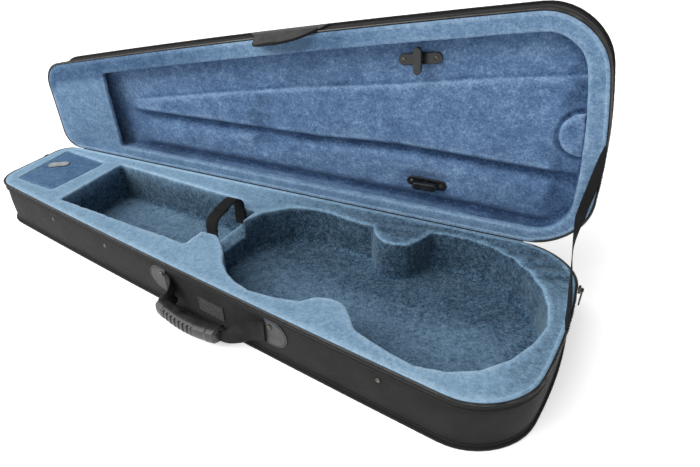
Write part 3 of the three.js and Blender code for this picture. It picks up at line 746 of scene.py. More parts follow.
def add_cloth_hinge():
    """One strip of tape from the base's back wall to the lid's, which bends at the hinge."""
    pivot = Vector(joint("lid_hinge")["pos_m"])
    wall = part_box("base_hinge_tape")[1].y - 1.4 * MM
    lid_wall = pivot.z + (pivot.y - wall)
    on_base = [(wall + 0.7 * MM, 46 * MM), (wall + 0.8 * MM, 54 * MM), (wall + 0.9 * MM, 59.5 * MM)]
    at_pivot = [(pivot.y - 0.1 * MM, pivot.z - 0.6 * MM)]
    on_lid = [(pivot.y + 3 * MM, lid_wall - 1.1 * MM), (pivot.y + 9 * MM, lid_wall - 1.1 * MM),
              (pivot.y + 16 * MM, lid_wall - 1.5 * MM)]
    profile = catmull_rom(on_base + at_pivot + on_lid, 4)
    rings = []
    slope = np.gradient(profile, axis=0)
    slope /= np.linalg.norm(slope, axis=1)[:, None]
    outward = np.column_stack([slope[:, 1], -slope[:, 0]])
    loop = np.vstack([profile - outward * 0.35 * MM, (profile + outward * 0.35 * MM)[::-1]])
    for x in np.linspace(HINGE_FROM, HINGE_TO, 220):
        rings.append([(x, y, z) for y, z in loop])
    strip = skin("cloth_hinge", rings, sharp=60)
    displaced(strip, lambda place, normal: normal * rough(place, 12 * MM, 2) * 0.25 * MM)
    dressed(strip, None, BINDING, "binding", "base_hinge_tape", "lid_hinge_tape")
    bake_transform(strip)
    for row, y_z in enumerate(((wall + 1.3 * MM, 48.5 * MM), (wall + 1.35 * MM, 57 * MM))):
        spots = route_spots([(HINGE_FROM, *y_z), (HINGE_TO, *y_z)], 3.2 * MM, (0, 1, 0))
        stitches(f"hinge_stitches_{row + 1}", spots, (2.2, 0.45, 0.55), "base", "binding")


# ---------------------------------------------------------------- plush linings

VOXEL = 1.9 * MM
PLUSH_GAP = 0.25 * MM
CLOTH_FRAMES = 18


def rim_roll(low, high):
    """A ring that carries the plush out over the shell's edge, and furthest along the hinge."""
    outer, inner, hinge_reach = 0.1 * MM, 9 * MM, 1.2 * MM
    rings = []
    for place, out in zip(OUTLINE, OUTWARD):
        back = at_hinge(place[1])
        edge = outer * (1 - back) - hinge_reach * back
        section = [(-edge, low), (-inner, low), (-inner, high), (-edge, high)]
        rings.append([(*(place + out * o), z) for o, z in section])
    ring = skin("scratch", rings + [rings[0]], ends=False)
    mesh = ring.data
    bpy.data.objects.remove(ring)
    return mesh


def widened_rim(obj, plane):
    """Draws the plush out to the shell's edge again, where smoothing has drawn it in."""
    target, hinge_reach = 2.2 * MM, 0.8 * MM
    vertices = [v for v in obj.data.vertices if abs(v.co.z - plane) < 5.5 * MM]
    places = np.array([(v.co.x, v.co.y) for v in vertices])
    nearest, inset = [], []
    for place in places:
        apart = np.linalg.norm(OUTLINE - place, axis=1)
        i = int(np.argmin(apart))
        nearest.append(i)
        inset.append(-np.dot(place - OUTLINE[i], OUTWARD[i]))
    inset = np.array(inset)
    drawn_in = np.percentile(inset, 1.5)
    for vertex, i, depth in zip(vertices, nearest, inset):
        back = at_hinge(OUTLINE[i][1])
        edge = target * (1 - back) - hinge_reach * back
        share = 1 - min(max((depth - drawn_in) / (10 * MM - drawn_in), 0), 1)
        near = 1 - smooth_step(2.5 * MM, 5 * MM, abs(vertex.co.z - plane))
        out = OUTWARD[i] * share * near * (drawn_in - edge)
        vertex.co += Vector((out[0], out[1], 0))
    obj.data.update()


def lining(name, nodes, roll, hidden, matrix=None):
    """Joins the blocks of one lining and its rolled rim under one skin of plush."""
    obj = copy_of(name, nodes, matrix, grow=0.55 * MM)
    whole = bmesh.new()
    whole.from_mesh(obj.data)
    whole.from_mesh(roll)
    whole.to_mesh(obj.data)
    whole.free()
    size = VOXEL * 1
    applied(obj, ("REMESH", {"mode": "VOXEL", "voxel_size": size, "use_smooth_shade": True}))
    relaxed(obj, 6)
    shell = bmesh.new()
    shell.from_mesh(obj.data)
    unseen = [face for face in shell.faces if hidden(face.calc_center_median(), face.normal)]
    bmesh.ops.delete(shell, geom=unseen, context="FACES")
    shell.to_mesh(obj.data)
    shell.free()
    return obj


def rim_distance(place):
    return float(np.min(np.linalg.norm(OUTLINE - np.array((place.x, place.y)), axis=1)))


def stuffed(obj, free, pressure, cap):
    """Swells the padding by a cloth simulation on a coarse copy, and lets the fine skin follow it."""
    coarse = obj.copy()
    coarse.data = obj.data.copy()
    bpy.context.scene.collection.objects.link(coarse)
    applied(coarse, ("REMESH", {"mode": "VOXEL", "voxel_size": 5.5 * MM}))
    start, _ = mesh_arrays(coarse.data)
    freedom = np.array([free(v.co, v.normal) for v in coarse.data.vertices])
    group = coarse.vertex_groups.new(name="sewn")
    for i, amount in enumerate(freedom):
        group.add([i], 1 - amount, "REPLACE")
    cloth = coarse.modifiers.new("cloth", "CLOTH")
    cloth.settings.vertex_group_mass = "sewn"
    cloth.settings.quality = 4
    cloth.settings.mass = 0.25
    cloth.settings.tension_stiffness = 12
    cloth.settings.compression_stiffness = 12
    cloth.settings.bending_stiffness = 0.4
    cloth.settings.shrink_min = -0.05
    cloth.settings.use_pressure = True
    cloth.settings.uniform_pressure_force = pressure
    cloth.settings.effector_weights.gravity = 0
    cloth.collision_settings.use_collision = False
    for step in range(1, CLOTH_FRAMES + 1):
        bpy.context.scene.frame_set(step)
    settled = coarse.evaluated_get(bpy.context.evaluated_depsgraph_get())
    moved, _ = mesh_arrays(settled.data)
    bpy.context.scene.frame_set(1)
    shift = (moved - start) * freedom[:, None]
    length = np.maximum(np.linalg.norm(shift, axis=1, keepdims=True), 1e-9)
    shift *= np.minimum(1, cap / length)
    tree = kdtree.KDTree(len(start))
    for i, place in enumerate(start):
        tree.insert(place, i)
    tree.balance()
    for vertex in obj.data.vertices:
        near = tree.find_n(vertex.co, 4)
        weights = [1 / (distance + 0.5 * MM) for _, _, distance in near]
        step = sum((Vector(shift[i]) * w for (_, i, _), w in zip(near, weights)), Vector())
        vertex.co += step / sum(weights)
    bpy.data.objects.remove(coarse)
    obj.data.update()
    return obj


def base_plush_shape(place, normal):
    """Uneven stuffing everywhere, and slack folds at the back of the wide end."""
    top = smooth_step(0.058, 0.062, place.z)
    move = normal * (rough(place, 38 * MM, 1) * 0.8 + rough(place, 9 * MM, 5) * 0.3) * (1 - 0.4 * top) * MM
    slack = smooth_step(0.10, 0.20, place.x) * smooth_step(-0.01, 0.04, place.y)
    slack *= smooth_step(0.050, 0.061, place.z)
    fold = noise.noise(Vector((place.x * 9 + place.y * 14, place.y * 95 - place.x * 22, 4.0)))
    nearest = rim_distance(place)
    inner = smooth_step(4 * MM, 10 * MM, nearest)
    move.z += slack * inner * (fold * 1.9 - 0.9) * MM
    move.z -= top * (1 - smooth_step(0, 5 * MM, nearest)) * 0.9 * MM
    return move


def unseen_in_base(centre, normal):
    below = centre.z < 8 * MM and normal.z < 0.3
    return below or (centre.z < 56 * MM and abs(normal.z) < 0.6 and rim_distance(centre) < 5.5 * MM)


def bed_slack(place, normal):
    """Where the bed's cover isn't glued down: the tops of its blocks and the floor."""
    away = smooth_step(5 * MM, 14 * MM, rim_distance(place))
    return away * smooth_step(0.5, 0.9, normal.z) * 0.9


def bed_shade(place, normal):
    """Painted shade on the bed's plush: darker towards the back of the wide end and near its tip, on upright
    walls and down in the wells, where the light falls less.
    """
    back = smooth_step(-0.05, 0.07, place.y) * smooth_step(-0.12, 0.22, place.x)
    right = smooth_step(0.33, 0.38, place.x) * 0.25
    # Painted shade down in the wells and on upright walls.
    deep = 1 - smooth_step(0.028, 0.060, place.z)
    upright = 1 - smooth_step(0.2, 0.7, abs(normal.z))
    return max(back * 0.5, right) + deep * 0.3 + upright * 0.3


def eased(depth, room=0.9 * MM):
    """A clearance that never reaches zero: unchanged above `room`, and pressed softly below it."""
    return depth if depth > room else room * math.exp((depth - room) / room)


def kept_below(obj, height):
    """Presses the plush down where it would rise past the plane in which the lid meets the base."""
    for vertex in obj.data.vertices:
        vertex.co.z = height - eased(height - vertex.co.z)
    obj.data.update()


def add_base_lining():
    low, high = SHELL_RIM + 0.2 * MM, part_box("bed_front")[1].z + 0.3 * MM
    roll = rim_roll(low, high)
    nodes = ["bed_floor", "bed_narrow_end", "bed_front", "bed_back", "neck_rest"]
    bed = lining("plush_bed", nodes, roll, unseen_in_base)
    widened_rim(bed, SHELL_RIM + 1.5 * MM)
    displaced(bed, base_plush_shape)
    stuffed(bed, bed_slack, 1.5, 1.5 * MM)
    kept_below(bed, PARTING - PLUSH_GAP)
    # Painted shade on the bed: darker in folds, and where the bed's shade rules add more.
    mark_painted_shade(bed, 6, bed_shade)
    dressed(bed, "base", PLUSH_LIGHT, "plush_light", *nodes)


# Sewn lines of the lid's padding, seen with the lid shut: x and y on the case's plan.
LOWER_GROOVE = [(-0.240, 0.030), (-0.083, 0.0255), (0.055, 0.0225),
                (0.169, 0.0145), (0.265, 0.0155), (0.372, 0.0165)]
FOOT_GROOVE = [(-0.288, 0.083), (-0.071, 0.0805), (0.054, 0.0805),
               (0.167, 0.0805), (0.274, 0.0815), (0.362, 0.0845)]
RIDGE = [(-0.241, 0.0115), (-0.100, -0.017), (0.040, -0.043),
         (0.166, -0.0635), (0.274, -0.0835), (0.370, -0.0985)]
FROG_PAD = (0.374, -0.0345)
UPPER_CLIP, LOWER_CLIP = (0.186, -0.0955), (0.207, 0.0575)
LID_RIM_DEPTH = 9 * MM


def line_y(line, x):
    return float(np.interp(x, [p[0] for p in line], [p[1] for p in line]))


def pad_heights(place):
    """How far the two long pads of the lid stand out at a point of the shut lid's plan."""
    lower, ridge, foot = (line_y(line, place.x) for line in (LOWER_GROOVE, RIDGE, FOOT_GROOVE))
    span = smooth_step(-0.262, -0.20, place.x) * (1 - 0.6 * smooth_step(0.345, 0.362, place.x))
    across = min(max((place.y - ridge) / max(lower - ridge, 8 * MM), 0), 1)
    upper = smooth_step(-0.5 * MM, 2.0 * MM, place.y - ridge) * (3.2 + 4.8 * across) * MM
    upper *= smooth_step(0, 8 * MM, lower - place.y)
    across = min(max((place.y - lower) / (foot - lower), 0), 1)
    low_pad = math.sin(math.pi * across) ** 0.7 * 6 * MM
    grooves = bell(place.y - lower - 1 * MM, 6.5 * MM) * 3 * MM
    grooves += bell(place.y - foot + 3 * MM, 7 * MM) * 5 * MM
    from_clip = ((place.x - LOWER_CLIP[0]) / (30 * MM)) ** 4 + ((place.y - LOWER_CLIP[1]) / (15 * MM)) ** 4
    clip = math.exp(-from_clip)
    frog = math.hypot(place.x - FROG_PAD[0], place.y - FROG_PAD[1]) / MM
    dent = bell(frog - 26.5, 2.4) * 3 * MM
    return span * (upper + low_pad * (1 - clip) - grooves) - dent


def lid_plush_shape(place, normal):
    """The grooves and the raised pads of the lid's panel, made with the lid shut."""
    depth = place.z - PARTING
    rim = 1 - smooth_step(2 * MM, 6 * MM, depth)
    move = normal * (rough(place, 32 * MM, 2) * 0.9 + rough(place, 10 * MM, 6) * 0.4) * (1 - 0.5 * rim) * MM
    panel = smooth_step(15 * MM, 21 * MM, depth) * smooth_step(0.2, 0.8, -normal.z)
    wrinkle = rough(Vector((place.x * 0.5, place.y, place.z)), 13 * MM, 12)
    move.z -= panel * (pad_heights(place) + wrinkle * 0.7 * MM)
    move.z += rim * (1 - smooth_step(0, 5 * MM, rim_distance(place))) * 0.8 * MM
    seam = bell(rim_distance(place) - 13 * MM, 1.6 * MM)
    move.z += rim * seam * (1 - smooth_step(-0.275, -0.26, place.x)) * 0.7 * MM
    return move


def unseen_in_lid(centre, normal):
    above = centre.z > LID_TOP - 8 * MM and normal.z > -0.3
    depth = centre.z - PARTING
    return above or (depth > 8 * MM and abs(normal.z) < 0.6 and rim_distance(centre) < 5.5 * MM)


def lid_slack(place, normal):
    """The lid's cover is free between its sewn lines."""
    inside = smooth_step(22 * MM, 30 * MM, rim_distance(place)) * smooth_step(0.3, 0.8, -normal.z)
    inside *= smooth_step(-0.27, -0.25, place.x)
    sewn = min(abs(place.y - line_y(line, place.x)) for line in (LOWER_GROOVE, FOOT_GROOVE, RIDGE))
    from_frog = abs(math.hypot(place.x - FROG_PAD[0], place.y - FROG_PAD[1]) - 23 * MM)
    clips = min(math.hypot(place.x - x, place.y - y) for x, y in (UPPER_CLIP, LOWER_CLIP))
    held = min(smooth_step(2 * MM, 9 * MM, min(sewn, from_frog)), smooth_step(24 * MM, 36 * MM, clips))
    return inside * held


def lid_shade(place, normal):
    """Shifts the lid plush's colour: on the rim, darker along the front edge, most towards the narrow end,
    with a painted shadow beside the flap; in the panel, painted shade in the sewn channels and towards the
    wide end, a painted highlight along the ridge, and painted light beyond the foot groove.
    """
    if place.z - PARTING < LID_RIM_DEPTH:
        front = 1 - smooth_step(20 * MM, 34 * MM, place.y - np.interp(place.x, *FRONT_LINE))
        # Painted shadow cast by the flap on the rim beside it.
        flap_shadow = bell(place.x - 0.08, 50 * MM) * 0.35
        return front * (0.45 * (1 - smooth_step(-0.22, 0.0, place.x)) + flap_shadow)
    lower, foot = line_y(LOWER_GROOVE, place.x), line_y(FOOT_GROOVE, place.x)
    span = smooth_step(-0.262, -0.20, place.x)
    # Painted shade in the sewn channels.
    channel_shade = bell(place.y - lower - 1 * MM, 7 * MM) * 0.4
    channel_shade += bell(place.y - foot + 3 * MM, 6.5 * MM) * 0.55
    # Painted highlight along the ridge, painted shade at the wide end, painted light beyond the foot groove.
    ridge_highlight = bell(place.y - line_y(RIDGE, place.x) - 0.8 * MM, 1.5 * MM) * 0.35
    shade = smooth_step(0.325, 0.372, place.x) * 0.25
    lit = smooth_step(foot - 1 * MM, foot + 4 * MM, place.y) * 0.4
    return span * (channel_shade - ridge_highlight) + shade - lit


# What stands up from the base under the shut lid: the room left over it, and the slope round it.
STANDING = (("box_lid_tab", 1.5, 0.5), ("neck_strap_front", 2.5, 0.35), ("neck_strap_back", 2.5, 0.35))
UNDER_LID = [(*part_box(node), room * MM, slope) for node, room, slope in STANDING]


def height_under_lid(place):
    height = PARTING + PLUSH_GAP
    on_rim = place.z - PARTING < LID_RIM_DEPTH
    for low, high, room, slope in UNDER_LID[:1] if on_rim else UNDER_LID:
        away = math.hypot(max(low.x - place.x, place.x - high.x, 0),
                          max(low.y - place.y, place.y - high.y, 0))
        height = max(height, high.z + room - away * slope)
    return height


def kept_off_base(obj):
    """Presses the shut lid's plush up off the base and what stands on it."""
    for vertex in obj.data.vertices:
        height = height_under_lid(vertex.co)
        vertex.co.z = height + eased(vertex.co.z - height)
    obj.data.update()


def add_lid_lining():
    shut = cad_points("lid_rim_pad", SHUT)[:, 2]
    roll = rim_roll(shut.min() - 0.3 * MM, LID_RIM - 0.2 * MM)
    nodes = ["lid_rim_pad", "lid_panel", "bow_tip_pocket"]
    band = lining("plush_lid_lining", nodes, roll, unseen_in_lid, SHUT)
    widened_rim(band, LID_RIM - 1.5 * MM)
    displaced(band, lid_plush_shape)
    stuffed(band, lid_slack, 2.5, 3 * MM)
    kept_off_base(band)
    # Painted shade and light on the lid's plush.
    mark_painted_shade(band, 4, lid_shade)
    band.data.materials.clear()
    band.data.materials.append(PLUSH_LID)
    band.data.materials.append(PLUSH_RIM)
    # The rim band gets the lighter copy of the plush: painted light.
    indices = [1 if face.center.z - PARTING < LID_RIM_DEPTH else 0 for face in band.data.polygons]
    band.data.polygons.foreach_set("material_index", indices)
    opened(band)
    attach(band, "lid")
    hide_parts(*nodes)
    pad = rounded("plush_frog_pad", ["frog_pad"], 1.6 * MM, 6, SHUT)
    proud = Vector((0, 0, -2.2 * MM))
    displaced(pad, lambda place, normal: normal * rough(place, 11 * MM, 4) * 0.5 * MM + proud)
    # Painted shade in the pad's folds.
    mark_painted_shade(pad, 5)
    dressed(opened(pad), "lid", PLUSH_LID, "plush_light", "frog_pad")


def add_box_lid():
    cover_pad = rounded("plush_box_lid", ["box_lid"], 1.5 * MM, 5)
    low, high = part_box("box_lid")
    middle = (low + high) / 2
    root = joint("tab_lift")["pos_m"]

    def crowned(place, normal):
        across = max(abs(place.x - middle.x) / (high.x - low.x),
                     abs(place.y - middle.y) / (high.y - low.y)) * 2
        rise = (1 - across ** 4) * 0.9 * MM * (normal.z > 0.3)
        from_tab = math.hypot(place.x - root[0], place.y - root[1])
        under_tab = bell(from_tab, 7 * MM) * (normal.z > 0.3)
        rise -= under_tab * 1.8 * MM
        return Vector((0, 0, rise)) + normal * rough(place, 15 * MM, 3) * 0.35 * MM

    displaced(cover_pad, crowned)
    # Painted shade in the box lid's folds.
    mark_painted_shade(cover_pad, 5)
    # The box lid's plush is painted darker as shade.
    dressed(cover_pad, "box_cover", PLUSH_BOX, "plush_deep", "box_lid")
    tab = rounded("pull_tab", ["box_lid_tab"], 0.5 * MM, 3)
    for vertex in tab.data.vertices:
        vertex.co.z += 1.15 * MM
    dressed(tab, "box_tab", TAB, "tab_vinyl", "box_lid_tab")
    points = cad_points("box_lid_tab")
    ends = points[[points[:, 0].argmin(), points[:, 0].argmax()]]
    along = (ends[1] - ends[0]) / np.linalg.norm(ends[1] - ends[0])
    side = np.array([-along[1], along[0], 0])
    top = points[:, 2].max() + 1.25 * MM
    spots = []
    for s in (-1, 1):
        start = ends[0] + along * 5 * MM + side * s * 5 * MM
        finish = ends[1] - along * 5 * MM + side * s * 5 * MM
        start[2] = finish[2] = top
        spots += route_spots([start, finish], 2.4 * MM, (0, 0, 1))
    dressed(scatter("pull_tab_stitches", bead((1.7, 0.5, 0.4)), spots), "box_tab", TAB, "tab_vinyl")


# ---------------------------------------------------------------- straps and ribbon

def add_neck_strap():
    """Two padded halves that meet over the neck, the back one lapped over the front one."""
    for side, toward in (("front", 1), ("back", -1)):
        low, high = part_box(f"neck_strap_{side}")
        x, top = (low.x + high.x) / 2, high.z - MM
        wall = low.y + MM if toward > 0 else high.y - MM
        reach = high.y - low.y - MM
        if side == "back":
            reach += 9 * MM
        rise = [(0, low.z), (0.2 * MM, low.z + 7 * MM), (5 * MM, low.z + 14.5 * MM),
                (13 * MM, top - 0.6 * MM), (22 * MM, top), (reach, top - (1.2 * MM if side == "back" else 0))]
        stations = [((x, wall + toward * r, z), (1, 0, 0), 17 * MM) for r, z in rise]
        piece, length, _ = strap(f"neck_strap_{side}_band", stations, 2.0 * MM)
        dressed(piece, f"strap_{side}", WEBBING, "webbing", f"neck_strap_{side}")
        route = catmull_rom([s[0] for s in stations], 8)
        spots = []
        for edge in (-1, 1):
            line = route + np.array([edge * 6.6 * MM, 0, 1.05 * MM])
            spots += route_spots(line[10:-2], 2.6 * MM, (0, 0, 1))
        stitches(f"neck_strap_{side}_stitches", spots, (1.9, 0.5, 0.5), f"strap_{side}", "webbing")
        anchor = f"neck_anchor_{side}"
        plain_piece(f"{anchor}_tape", anchor, "base", WEBBING, "webbing", 0.6 * MM, 3)


def add_stay():
    """The ribbon that stops the lid: face-on at the lid, edge-on over the gap, flat on the base's wall."""
    route = [
        ((398, 106, 196), (0.35, -0.6, 0.7), 7),
        ((397, 102, 174), (0.8, -0.5, 0.2), 10),
        ((395, 98.5, 150), (0.95, -0.2, 0.2), 11),
        ((391.5, 91, 126), (0.9, 0.1, 0.35), 10.5),
        ((390, 78, 107), (0.4, -0.3, 0.8), 12),
        ((390.5, 54, 92), (-0.09, -0.44, 0.9), 13),
        ((393.5, 22, 81), (0.05, -0.4, 0.9), 14),
        ((396.5, -8, 72), (0.3, -0.35, 0.9), 10.5),
        ((397, -38, 64), (0.35, -0.2, 0.9), 9),
    ]
    stations = [(np.array(place) * MM, across, width * MM) for place, across, width in route]
    ribbon, length, area = strap("stay_ribbon_tape", stations, 0.9 * MM, steps=10)
    dressed(ribbon, None, WEBBING, "webbing", "stay_ribbon")
    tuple(stations[-1][0])
    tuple(stations[0][0])
    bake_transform(ribbon)


# ---------------------------------------------------------------- handle and front fittings

def handle_frame():
    """Where the handle hangs: along the wall, up and outwards, from the wall's foot."""
    swing = joint("handle_swing")
    along = -Vector(swing["axis"]).normalized()
    out = along.cross(Vector((0, 0, 1)))
    foot = Vector(swing["pos_m"]) - out * 6.4 * MM
    foot.z = 0
    return Matrix((along, (0, 0, 1), out)).transposed().to_4x4(), foot


HANDLE_TURN, HANDLE_FOOT = handle_frame()
HANDLE = Matrix.Translation(HANDLE_FOOT) @ HANDLE_TURN


def at_handle(x, up, out):
    return np.array(HANDLE @ Vector((x * MM, up * MM, out * MM)))


def handle_direction(x, up, out):
    return np.array(HANDLE_TURN.to_3x3() @ Vector((x, up, out)))


GRIP_ENDS = (-70.0, 24.0)
RIB_START, RIB_PITCH, RIB_COUNT = -54.0, 6.6, 7


def grip_centre(x):
    t = (x - GRIP_ENDS[0]) / (GRIP_ENDS[1] - GRIP_ENDS[0])
    bow = 4 * t * (1 - t)
    return 17.3 - 4.2 * bow, 18.7 + 4.2 * bow


def grip_size(x):
    """Share of the full section: drawn in at both ends, with a cuff before each."""
    to_end = min(x - GRIP_ENDS[0], GRIP_ENDS[1] - x)
    size = 0.80 + 0.20 * smooth_step(0, 3, to_end)
    return size - 0.06 * smooth_step(12, 15, to_end)


def add_grip():
    """A moulded grip: smooth above, with a ridge along it and ribs on its outer, lower side."""
    rings = []
    for x in np.linspace(*GRIP_ENDS, 220):
        up, out = grip_centre(x)
        size = grip_size(x)
        turn = (x - RIB_START) / RIB_PITCH
        ribbed = 0 <= turn <= RIB_COUNT
        valley = smooth_step(0.55, 1.0, abs(2 * (turn % 1) - 1)) if ribbed else 0.0
        ring = []
        for angle in np.linspace(0, 2 * math.pi, 64, endpoint=False):
            below = smooth_step(-0.05, 0.25, math.cos(angle + 0.75))
            ledge = bell((angle - 0.62 + math.pi) % (2 * math.pi) - math.pi, 0.12) * 0.7
            squared = 1 / (abs(math.cos(angle)) ** 2.8 + abs(math.sin(angle)) ** 2.8) ** (1 / 2.8)
            swell = ledge - 3.2 * valley * below - (0.5 * (1 - below) if ribbed else 0.3 * (1 - below))
            r_out, r_up = 10.2 * size * squared + swell, 10.0 * size * squared + swell
            ring.append(at_handle(x, up + r_up * math.sin(angle), out + r_out * math.cos(angle)))
        rings.append(ring)
    dressed(skin("grip_moulding", rings, sharp=55), "handle", GRIP, "grip_plastic", "handle_grip")


def crumpled(place, normal):
    return normal * (rough(place, 14 * MM, 7) * 1.1 + rough(place, 5 * MM, 3) * 0.3) * MM


def add_handle_straps():
    up = (0, 1, 0)
    routes = {
        "left": [((-75, 35, 2.6), up, 29), ((-69, 35, 3.2), up, 29), ((-62, 33.5, 6.5), up, 28),
                 ((-59, 29.5, 12.5), (0.1, 1, -0.1), 24), ((-63, 22.5, 17.5), (0.2, 1, -0.3), 18),
                 ((-69, 17.6, 18.4), (0, 1, -0.2), 14), ((-73, 16.4, 18.6), (0, 1, -0.2), 12)],
        "right": [((75, 35, 2.6), up, 29), ((69, 35, 3.4), up, 29), ((60, 33, 7), up, 27.5),
                  ((50, 28.5, 12), (0.1, 1, -0.1), 24), ((39, 21, 16.5), (0.1, 1, -0.25), 18),
                  ((28, 16.2, 18.6), (0, 1, -0.2), 13.5), ((20, 15.4, 19.6), (0, 1, -0.2), 12)],
    }
    for side, route in routes.items():
        stations = [(at_handle(*place), handle_direction(*across), width * MM)
                    for place, across, width in route]
        piece, _, _ = strap(f"handle_strap_{side}_web", stations, 2.6 * MM, steps=8)
        displaced(piece, crumpled)
        dressed(piece, None, WEBBING, "webbing", f"handle_strap_{side}", f"strap_root_{side}")
        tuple(stations[1][0])
        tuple(stations[4][0])
        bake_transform(piece)
        for edge in (-1, 1):
            line = catmull_rom([s[0] + s[1] / np.linalg.norm(s[1]) * edge * (s[2] / 2 - 1.8 * MM)
                                + handle_direction(0, 0, 1) * 1.5 * MM for s in stations[:2]], 6)
            spots = route_spots(line, 2.4 * MM, handle_direction(0, 0, 1))
            end = "low" if edge < 0 else "high"
            stitches(f"handle_strap_{side}_seam_{end}", spots, (1.9, 0.5, 0.5), "base", "webbing")


def turned_head(name, centre, out, radius, profile):
    """A small round head: `profile` gives its height at a share of the radius and an angle."""
    out = Vector(out).normalized()
    turn = Vector((0, 0, 1)).rotation_difference(out).to_matrix().to_4x4()
    angles = np.linspace(0, 2 * math.pi, 40, endpoint=False)
    rings = []
    for share in np.linspace(0.04, 1, 14):
        rings.append([(radius * share * math.cos(a), radius * share * math.sin(a), profile(share, a))
                      for a in angles])
    rings.append([(x, y, -0.6 * MM) for x, y, _ in rings[-1]])
    obj = skin(name, rings, sharp=50)
    obj.data.transform(Matrix.Translation(Vector(centre)) @ turn)
    return obj


def rivet_profile(height):
    def profile(share, angle):
        ring = height * math.sqrt(max(1 - ((share - 0.62) / 0.42) ** 2, 0.0))
        dimple = height * (0.25 + 0.2 * smooth_step(0.15, 0.3, share))
        return max(ring, dimple if share < 0.6 else 0.0)
    return profile


def screw_profile(height):
    def profile(share, angle):
        dome = height * (1 - 0.55 * share ** 2.5)
        x, y = abs(share * math.cos(angle)), abs(share * math.sin(angle))
        slot = min(x, y) < 0.12 and max(x, y) < 0.55
        return dome - (0.55 * height if slot else 0)
    return profile


def wall_normal(place):
    """The outward direction of the case's wall nearest to a place."""
    i = int(np.argmin(np.linalg.norm(OUTLINE - np.array((place[0], place[1])), axis=1)))
    return Vector((OUTWARD[i][0], OUTWARD[i][1], 0))


def add_rivets():
    names = ["handle_rivet_left", "handle_rivet_right", "wall_rivet_1", "wall_rivet_2", "wall_rivet_3"]
    for node in names:
        low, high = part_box(node)
        middle = (low + high) / 2
        out = wall_normal(middle)
        big = node.startswith("handle")
        centre = middle - out * (0.6 if big else 0.4) * MM
        radius, height = (3.1 * MM, 1.5 * MM) if big else (2.6 * MM, 1.2 * MM)
        head = turned_head(f"{node}_head", centre, out, radius, rivet_profile(height))
        dressed(head, "base", STEEL, "steel", node)


def edge_loop(node, inset):
    """A D-shaped patch's edge on its outer face, moved in by `inset`, from its CAD solid."""
    points = cad_points(node)
    middle = points.mean(0)
    out = np.array(wall_normal(middle))
    depth = (points - middle) @ out
    face = np.unique(np.round(points[depth > depth.max() - 0.3 * MM], 6), axis=0)
    along = np.cross(np.array([0, 0, 1.0]), out)
    flat = np.column_stack([(face - middle) @ along, face[:, 2] - middle[2]])
    flat = flat[np.argsort(np.arctan2(flat[:, 1], flat[:, 0]))]
    shrink = 1 - inset / np.linalg.norm(flat, axis=1)
    flat = flat * shrink[:, None]
    loop = middle + flat[:, :1] * along + flat[:, 1:] * np.array([0, 0, 1.0]) + out * depth.max()
    return np.vstack([loop, loop[:1]]), out


def add_patches():
    for side in ("left", "right"):
        node = f"handle_patch_{side}"
        patch = rounded(f"{node}_vinyl", [node], 0.55 * MM, 4)
        loop, out = edge_loop(node, 2.2 * MM)
        line = evenly(loop, 90)

        def beaded(place, normal):
            near = np.min(np.linalg.norm(line - np.array(place), axis=1))
            groove = bell(near, 0.9 * MM) * 0.45 * MM
            return Vector(out) * -groove + normal * rough(place, 9 * MM, 5) * 0.15 * MM

        displaced(patch, beaded)
        dressed(patch, "base", VINYL, "vinyl", node)
        stitches(f"{node}_stitches", route_spots(loop, 2.9 * MM, out), (2.0, 0.6, 0.6), "base", "vinyl")
    patch = rounded("hook_patch_pile", ["hook_patch"], 0.7 * MM, 2)
    displaced(patch, lambda place, normal: normal * rough(place, 1.6 * MM, 4) * 0.35 * MM)
    dressed(patch, "base", HOOKS, "hooks", "hook_patch")


# ---------------------------------------------------------------- lid flap, clips and sliders

